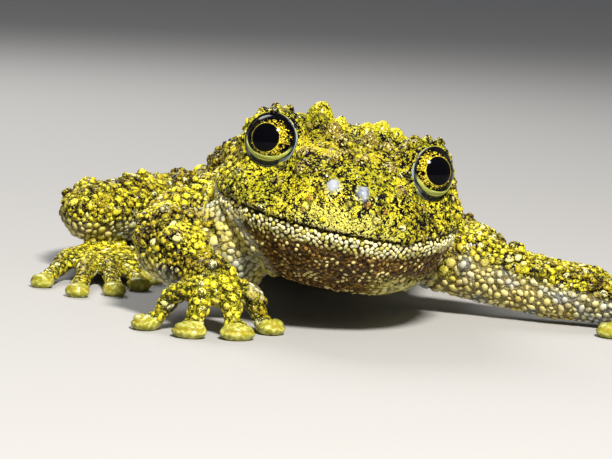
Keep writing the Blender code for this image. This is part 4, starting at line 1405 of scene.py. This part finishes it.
def granule_material(look):
    """Each granule has the hue of its place and a tone of its own, takes a painted highlight on the
    highest tones, and darkens towards its root in painted shade.
    """
    made, graph, shader = new_material("granules")
    place, tone = graph.place(), graph.attribute("tone")
    moss = moss_at(graph, place, 0.42, -0.01)
    hue = graph.blend(moss_hue(graph, look, moss), look.olive, tone, 0.1, 0.3, 0.55, 0.0)
    # Painted highlight: granules of the highest tones take the glint colour, standing in for wet
    # glints.
    hue = graph.blend(hue, look.glint, tone, 0.85, 0.95, 0.0, 0.6)
    flecks = graph.times(moss["Fleck"], graph.between(graph.attribute("head"), 0.88, 0.95))
    hue = graph.mix(flecks, hue, look.black)
    pale = graph.blend(pale_hue(graph, look, place), look.green, tone, 0.0, 0.6, 0.35, 0.0)
    lit = graph.plus(tone, graph.eased(graph.noise(place, 2.6), 0.3, 0.7, -0.5, 0.5))
    throat = graph.blend(look.throat, look.cream, lit, 0.65, 0.95, 0.0, 0.95)
    throat = graph.blend(throat, look.shade, tone, 0.35, 0.42, 0.9, 0.0)
    lip = graph.blend(look.cream, look.lip, tone, 0.3, 0.7)
    lip = graph.blend(lip, look.green, tone, 0.15, 0.2, 0.7, 0.0)
    layers = (
        ("pale", 1.0, pale),
        ("throat", 1.0, throat),
        ("lip", 1.0, lip),
        ("rosy", 1.0, look.rosy),
    )
    colour, rise = graph.layered(hue, layers), graph.attribute("rise")
    levels = {
        # Painted shade: each granule darkens towards black at its root, where it meets the skin.
        "Base Color": graph.blend(colour, look.black, rise, -0.1, 0.5, 0.75, 0.0),
        "Roughness": graph.eased(moss["Fine"], 0.3, 0.7, 0.28, 0.5),
        "Specular IOR Level": 0.05,
        "Coat Weight": graph.times(graph.minus(1.0, moss["Fleck"]), 0.45),
        "Coat Roughness": 0.2,
        "Normal": graph.bump(moss["Fine"], 0.35, 0.06),
    }
    graph.fill(shader, levels)
    return made


def eye_material(look):
    """Black pupil with a thin bright edge, gold iris under a black net, dark outer ring, wet coat."""
    made, graph, shader = new_material("eye")
    where = graph.attribute("eye_axes", "Vector")
    angle = graph.math("ARCCOSINE", graph.add("ShaderNodeSeparateXYZ", {0: where}, "Z"))
    turned = (math.sin(PUPIL_TURN), 0.0, math.cos(PUPIL_TURN))
    from_pupil = graph.math("ARCCOSINE", graph.vector("DOT_PRODUCT", where, turned, output="Value"))
    streaks = {"Vector": where, "Scale": 15.0, "Detail": 3.0, "Roughness": 0.6}
    streak = graph.add("ShaderNodeTexNoise", streaks)
    blotch = graph.add("ShaderNodeTexNoise", {"Vector": where, "Scale": 3.4, "Detail": 2.0})
    level = graph.minus(0.46, graph.times(graph.minus(angle, 0.62), 0.5))
    net = graph.eased(streak, level, graph.plus(level, 0.035))
    net = graph.higher(net, graph.eased(graph.cell_edges(where, 9.5), 0.03, 0.12, 1.0, 0.0))
    net = graph.higher(net, graph.eased(blotch, 0.6, 0.64))
    net = graph.higher(net, graph.eased(angle, IRIS_EDGE, IRIS_EDGE + 0.06))
    iris = graph.mix(net, graph.blend(look.gold, look.amber, blotch, 0.4, 0.6), look.dark)
    pupil = math.asin(look.pupil / (EYE_RADIUS * MM))
    ragged = graph.plus(from_pupil, graph.times(graph.minus(streak, 0.5), 0.06))
    iris = graph.blend(iris, look.gold, ragged, pupil + 0.015, pupil + 0.04, 0.4, 0.0)
    levels = {
        "Base Color": graph.blend(look.dark, iris, ragged, pupil - 0.01, pupil + 0.015),
        "Roughness": 0.1,
        "Specular IOR Level": 0.03,
        "Coat Weight": 0.12,
        "Coat Roughness": 0.02,
    }
    graph.fill(shader, levels)
    return made


def lid_material(look):
    """From the eye out an olive crescent, a blue-black band, a pale rim and the skin's yellow.

    Crescent and band turn black above, and the rim is dark but for its lower and inner parts.
    """
    made, graph, shader = new_material("lid")
    band, low, inward = (graph.attribute(name) for name in ("band", "low", "inward"))
    along = graph.add("ShaderNodeCombineXYZ", {0: graph.times(band, 9.0), 1: graph.times(low, 1.5)})
    stripe = graph.add("ShaderNodeTexNoise", {"Vector": along, "Scale": 1.6, "Detail": 2.0})
    olive = graph.blend(look.olive_band, look.bright_band, stripe, 0.4, 0.6)
    inner = graph.blend(look.dark, olive, low, 0.0, 0.35)
    navy = graph.blend(look.navy, look.rim, stripe, 0.52, 0.66, 0.0, 0.7)
    navy = graph.blend(look.dark, navy, low, -0.6, 0.1)
    colour = graph.blend(inner, navy, band, 0.46, 0.52)
    lit = graph.eased(graph.higher(low, inward), 0.1, 0.6)
    lit = graph.times(lit, graph.eased(stripe, 0.35, 0.6, 0.35, 1.0))
    start = graph.eased(inward, 0.2, 0.8, 0.86, 0.76)
    rim = graph.mix(lit, look.navy, look.rim)
    colour = graph.blend(colour, rim, band, start, graph.plus(start, 0.05))
    levels = {
        "Base Color": graph.blend(colour, look.outer, band, 1.0, 1.06),
        "Roughness": 0.35,
        "Specular IOR Level": 0.15,
        "Coat Weight": 0.1,
        "Coat Roughness": 0.1,
        "Normal": graph.bump(graph.noise(graph.place(), 0.3), 0.4, 0.05),
    }
    graph.fill(shader, levels)
    return made


# Eyes and lids


def make_eyeball(side):
    """A ball round the eye's own axis, whose unit axes are kept on it for the iris."""
    axes = eye_frame(side)[1] @ turning("Y", GAZE_TURN[side]) @ turning("X", -GAZE_LIFT[side])
    centre = eye_centre(side)
    points, faces = ball(centre, axes, (EYE_RADIUS,) * 3, 64, 96)
    obj = new_object(f"eye_{side}_ball", points, faces)
    layer = obj.data.attributes.new("eye_axes", "FLOAT_VECTOR", "POINT")
    local = ((points - centre) @ axes / EYE_RADIUS * (SIDES[side], 1, 1)).astype(np.float32)
    layer.data.foreach_set("vector", np.clip(local, -1, 1).ravel())
    return obj


# A lid from its inner edge out: share of the way to the rim, height over the ball
LID_PROFILE = (
    (0.0, -0.25),
    (0.02, 0.0),
    (0.08, 0.07),
    (0.25, 0.1),
    (0.42, 0.1),
    (0.5, 0.03),
    (0.65, 0.04),
    (0.8, 0.07),
    (0.92, 0.13),
    (1.06, 0.15),
    (1.2, 0.0),
    (1.35, -0.5),
)
# The lid's inner edge: mean radius, how much higher it stands, and how much wider it is
EDGE_RADIUS, EDGE_LIFT, EDGE_WIDTH = 2.6, 0.6, 0.4


def make_lid(side):
    """A ring over the ball: for each angle p a profile from the edge of the iris out to the rim.

    The inner edge, r + m sin(p) + w cos2(p), stands higher than the opening, so that the band is
    broad below and narrow elsewhere. The ring closes under itself inside the ball.
    """
    centre, axes = eye_centre(side), eye_frame(side)[1]
    p = round_angles(120)[None]
    share, height = curve_through(LID_PROFILE, 34).T[..., None]
    inner = EDGE_RADIUS + EDGE_LIFT * np.sin(p) + EDGE_WIDTH * np.cos(p) ** 2
    away = inner + (LID_OPENING - inner) * np.minimum(share, 1) + np.maximum(share - 1, 0)
    depth = np.sqrt(EYE_RADIUS**2 - np.minimum(away, LID_OPENING) ** 2)
    top = np.stack([away * np.cos(p), away * np.sin(p), depth + 0 * p], axis=-1)
    top *= 1 + height[..., None] / np.linalg.norm(top, axis=-1, keepdims=True)
    back = top[-1:] - (0.0, 0.0, 0.8)
    front = top[:1] * 0.86
    rows = np.concatenate([top, back, front])
    grid = rows @ axes.T + centre
    count, around = grid.shape[:2]
    k = np.arange(around)
    after = (k + 1) % around
    row = np.arange(count)[:, None] * around
    below = np.roll(row, -1, axis=0)
    quads = np.stack([row + k, below + k, below + after, row + after], axis=-1)
    obj = new_object(f"lid_{side}", grid.reshape(-1, 3), quads.reshape(-1, 4).tolist())
    share = np.concatenate([share, [[1.4], [0.0]]])
    marks = {"band": share, "low": -np.sin(p), "inward": -SIDES[side] * np.cos(p)}
    for name, values in marks.items():
        mark(obj.data, name, np.broadcast_to(values, (count, around)).ravel())
    return obj


# Settings, operators and panel


def colour_setting(name, description, default):
    return FloatVectorProperty(
        name=name, description=description, default=default, subtype="COLOR", min=0.0, max=1.0
    )


class SkinLook(bpy.types.PropertyGroup):
    """Colours of the skin"""

    yellow: colour_setting("Yellow", "Brightest granules", (0.76, 0.66, 0.03))
    green: colour_setting("Green", "Moss-green granules", (0.46, 0.44, 0.012))
    olive: colour_setting("Olive", "Olive-brown patches and duller granules", (0.33, 0.235, 0.01))
    wart: colour_setting("Wart", "Tops of the warts on the face", (0.22, 0.15, 0.025))
    wart_light: colour_setting("Wart specks", "Pale specks on them", (0.72, 0.65, 0.28))
    # Painted highlight: pale spots laid on the tops of the skin's cells and on the granules of highest
    # tone.
    glint: colour_setting("Glint", "Palest granules", (0.84, 0.82, 0.46))
    # Black of the flecks; also painted shade round wart bases, in the gaps between granules and at the
    # granules' roots.
    black: colour_setting("Black", "Flecks and furrows", (0.006, 0.004, 0.006))
    cream: colour_setting("Cream", "Underside", (0.72, 0.62, 0.24))
    bluish: colour_setting("Bluish", "Cooler patches of the underside", (0.5, 0.52, 0.46))
    # Painted shade in the gaps between pale granules, under the upper lip and in the throat's wrinkles;
    # also the dark brown of the throat's mottles and of some throat granules.
    shade: colour_setting("Shade", "Furrows of the pale skin", (0.045, 0.024, 0.008))
    throat: colour_setting("Throat", "Throat", (0.25, 0.14, 0.025))
    lip: colour_setting("Lip", "Granules of the lower lip", (0.8, 0.77, 0.45))
    mouth: colour_setting("Mouth", "Line of the mouth", (0.03, 0.014, 0.006))
    disc: colour_setting("Disc", "Discs of fingers and toes", (0.27, 0.26, 0.02))
    disc_light: colour_setting("Disc streaks", "Paler streaks of the discs", (0.52, 0.5, 0.12))
    muzzle: colour_setting("Muzzle", "Paler granules over the mouth", (0.72, 0.7, 0.2))
    nose: colour_setting("Nose", "Bumps at the nostrils", (0.12, 0.15, 0.2))
    nose_light: colour_setting("Nose light", "Tops of those bumps", (0.34, 0.37, 0.42))
    rosy: colour_setting("Rosy", "Tips of a few warts", (0.5, 0.22, 0.07))


class EyeLook(bpy.types.PropertyGroup):
    """Sizes and colours of the eyes"""

    pupil: FloatProperty(
        name="Pupil", description="Pupil radius", default=1.81 * MM, unit="LENGTH", precision=5
    )
    gold: colour_setting("Gold", "Bright gold of the iris", (0.9, 0.75, 0.06))
    amber: colour_setting("Amber", "Deeper gold of the iris", (0.75, 0.55, 0.02))
    dark: colour_setting("Dark", "Pupil and net", (0.001, 0.001, 0.002))
    olive_band: colour_setting("Olive band", "Band under the iris", (0.24, 0.28, 0.035))
    bright_band: colour_setting("Bright band", "Its brighter streaks", (0.62, 0.66, 0.17))
    navy: colour_setting("Navy", "Dark band of the lid", (0.012, 0.018, 0.03))
    rim: colour_setting("Rim", "Pale rim of the lid", (0.31, 0.38, 0.4))
    outer: colour_setting("Outer", "Where the lid meets the skin", (0.5, 0.45, 0.03))


class StageLook(bpy.types.PropertyGroup):
    """Floor and light"""

    floor: colour_setting("Floor", "Floor", (0.37, 0.362, 0.35))
    power: FloatProperty(
        name="Key power", description="Power of the main light", default=5.3, unit="POWER"
    )
    ambient: FloatProperty(name="Ambient", description="Strength of the sky", default=0.22)


LIMB_PARTS = ("upper_arm", "forearm", "hand", "thigh", "shank", "tarsus", "foot")
SKIN_NODES = ["head", "jaw", "torso", *sided(LIMB_PARTS)]


class FROG_OT_skin(bpy.types.Operator):
    """Cast the skin round head, trunk and limbs"""

    bl_idname = "frog.skin"
    bl_label = "Skin"

    def execute(self, context):
        skin = cast_skin()
        finish_piece(skin, skin_material(context.scene.frog_skin), SKIN_NODES)
        return {"FINISHED"}


class FROG_OT_granules(bpy.types.Operator):
    """Set the granules on the skin"""

    bl_idname = "frog.granules"
    bl_label = "Granules"

    def execute(self, context):
        material = granule_material(context.scene.frog_skin)
        for piece in make_granules():
            finish_piece(piece, material)
        return {"FINISHED"}


class FROG_OT_eyes(bpy.types.Operator):
    """Set the eyeballs and their lids"""

    bl_idname = "frog.eyes"
    bl_label = "Eyes"

    def execute(self, context):
        look = context.scene.frog_eyes
        eye, lid = eye_material(look), lid_material(look)
        for side in SIDES:
            finish_piece(make_eyeball(side), eye, [f"eye_{side}"])
            finish_piece(make_lid(side), lid)
        return {"FINISHED"}


def set_pose(obj, place, right, up, back):
    """Stands a camera or light at a place in the frog's frame, with these axes."""
    matrix = np.eye(4)
    matrix[:3, :3] = np.stack([right, up, back], axis=1)
    matrix[:3, 3] = (place + SHIFT) * MM
    obj.matrix_world = Matrix(matrix.tolist())


def add_light(name, place, size, power, colour):
    """A round area light that looks at the frog, with its place and size in millimetres."""
    data = bpy.data.lights.new(name, "AREA")
    data.shape = "DISK"
    data.energy = power
    data.color = colour
    data.size = size * MM
    back = unit(np.subtract(place, LIGHT_TARGET))
    right = unit(np.cross((0.0, 0.0, 1.0), back))
    set_pose(linked(name, data), np.array(place), right, np.cross(back, right), back)


def add_camera():
    """The snout stands right of and above the picture's middle, as in the photograph."""
    a, e, r = CAMERA_TURN, CAMERA_RISE, CAMERA_ROLL
    back = np.array([math.sin(a) * math.cos(e), -math.cos(a) * math.cos(e), math.sin(e)])
    level = np.array([math.cos(a), math.sin(a), 0.0])
    upright = np.cross(back, level)
    right = math.cos(r) * level + math.sin(r) * upright
    up = math.cos(r) * upright - math.sin(r) * level
    aim = SNOUT - right * SNOUT_RIGHT - up * SNOUT_UP
    data = bpy.data.cameras.new("camera")
    data.sensor_width = 36.0
    data.lens = data.sensor_width * CAMERA_DISTANCE / FIELD_WIDTH
    data.clip_start, data.clip_end = 0.01, 20.0
    camera = linked("camera", data)
    set_pose(camera, aim + back * CAMERA_DISTANCE, right, up, back)
    bpy.context.scene.camera = camera


class FROG_OT_stage(bpy.types.Operator):
    """Lay the floor, hang the lights and stand the camera"""

    bl_idname = "frog.stage"
    bl_label = "Floor, light and camera"

    def execute(self, context):
        look = context.scene.frog_stage
        corners = np.array([[-1, -1, 0], [1, -1, 0], [1, 1, 0], [-1, 1, 0]]) * FLOOR_REACH
        floor = new_object("floor", corners, [(0, 1, 2, 3)], MM)
        made, graph, shader = new_material("floor")
        graph.fill(shader, {"Base Color": look.floor, "Roughness": 0.8})
        floor.data.materials.append(made)
        world = bpy.data.worlds.new("sky")
        world.use_nodes = True
        sky = world.node_tree.nodes["Background"]
        Graph(world.node_tree).fill(sky, {"Color": SKY, "Strength": look.ambient})
        context.scene.world = world
        context.scene.view_settings.view_transform = "Standard"
        for name, (place, size, share, colour) in LIGHTS.items():
            add_light(name, place, size, look.power * share, colour)
        add_camera()
        return {"FINISHED"}


class FROG_PT_panel(bpy.types.Panel):
    """Lists the steps that make the frog"""

    bl_label = "Mossy frog"
    bl_space_type = "VIEW_3D"
    bl_region_type = "UI"
    bl_category = "Frog"

    def draw(self, context):
        for step in OPERATORS:
            self.layout.operator(step.bl_idname)


SETTINGS = {"frog_skin": SkinLook, "frog_eyes": EyeLook, "frog_stage": StageLook}
OPERATORS = (FROG_OT_skin, FROG_OT_granules, FROG_OT_eyes, FROG_OT_stage)
CLASSES = (*SETTINGS.values(), *OPERATORS, FROG_PT_panel)


def register():
    for item in CLASSES:
        bpy.utils.register_class(item)
    for name, group in SETTINGS.items():
        setattr(bpy.types.Scene, name, PointerProperty(type=group))


def unregister():
    for name in SETTINGS:
        delattr(bpy.types.Scene, name)
    for item in reversed(CLASSES):
        bpy.utils.unregister_class(item)


def main():
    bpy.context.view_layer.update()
    register()
    bpy.ops.frog.skin()
    bpy.ops.frog.granules()
    bpy.ops.frog.eyes()
    bpy.ops.frog.stage()


if __name__ == "__main__":
    main()
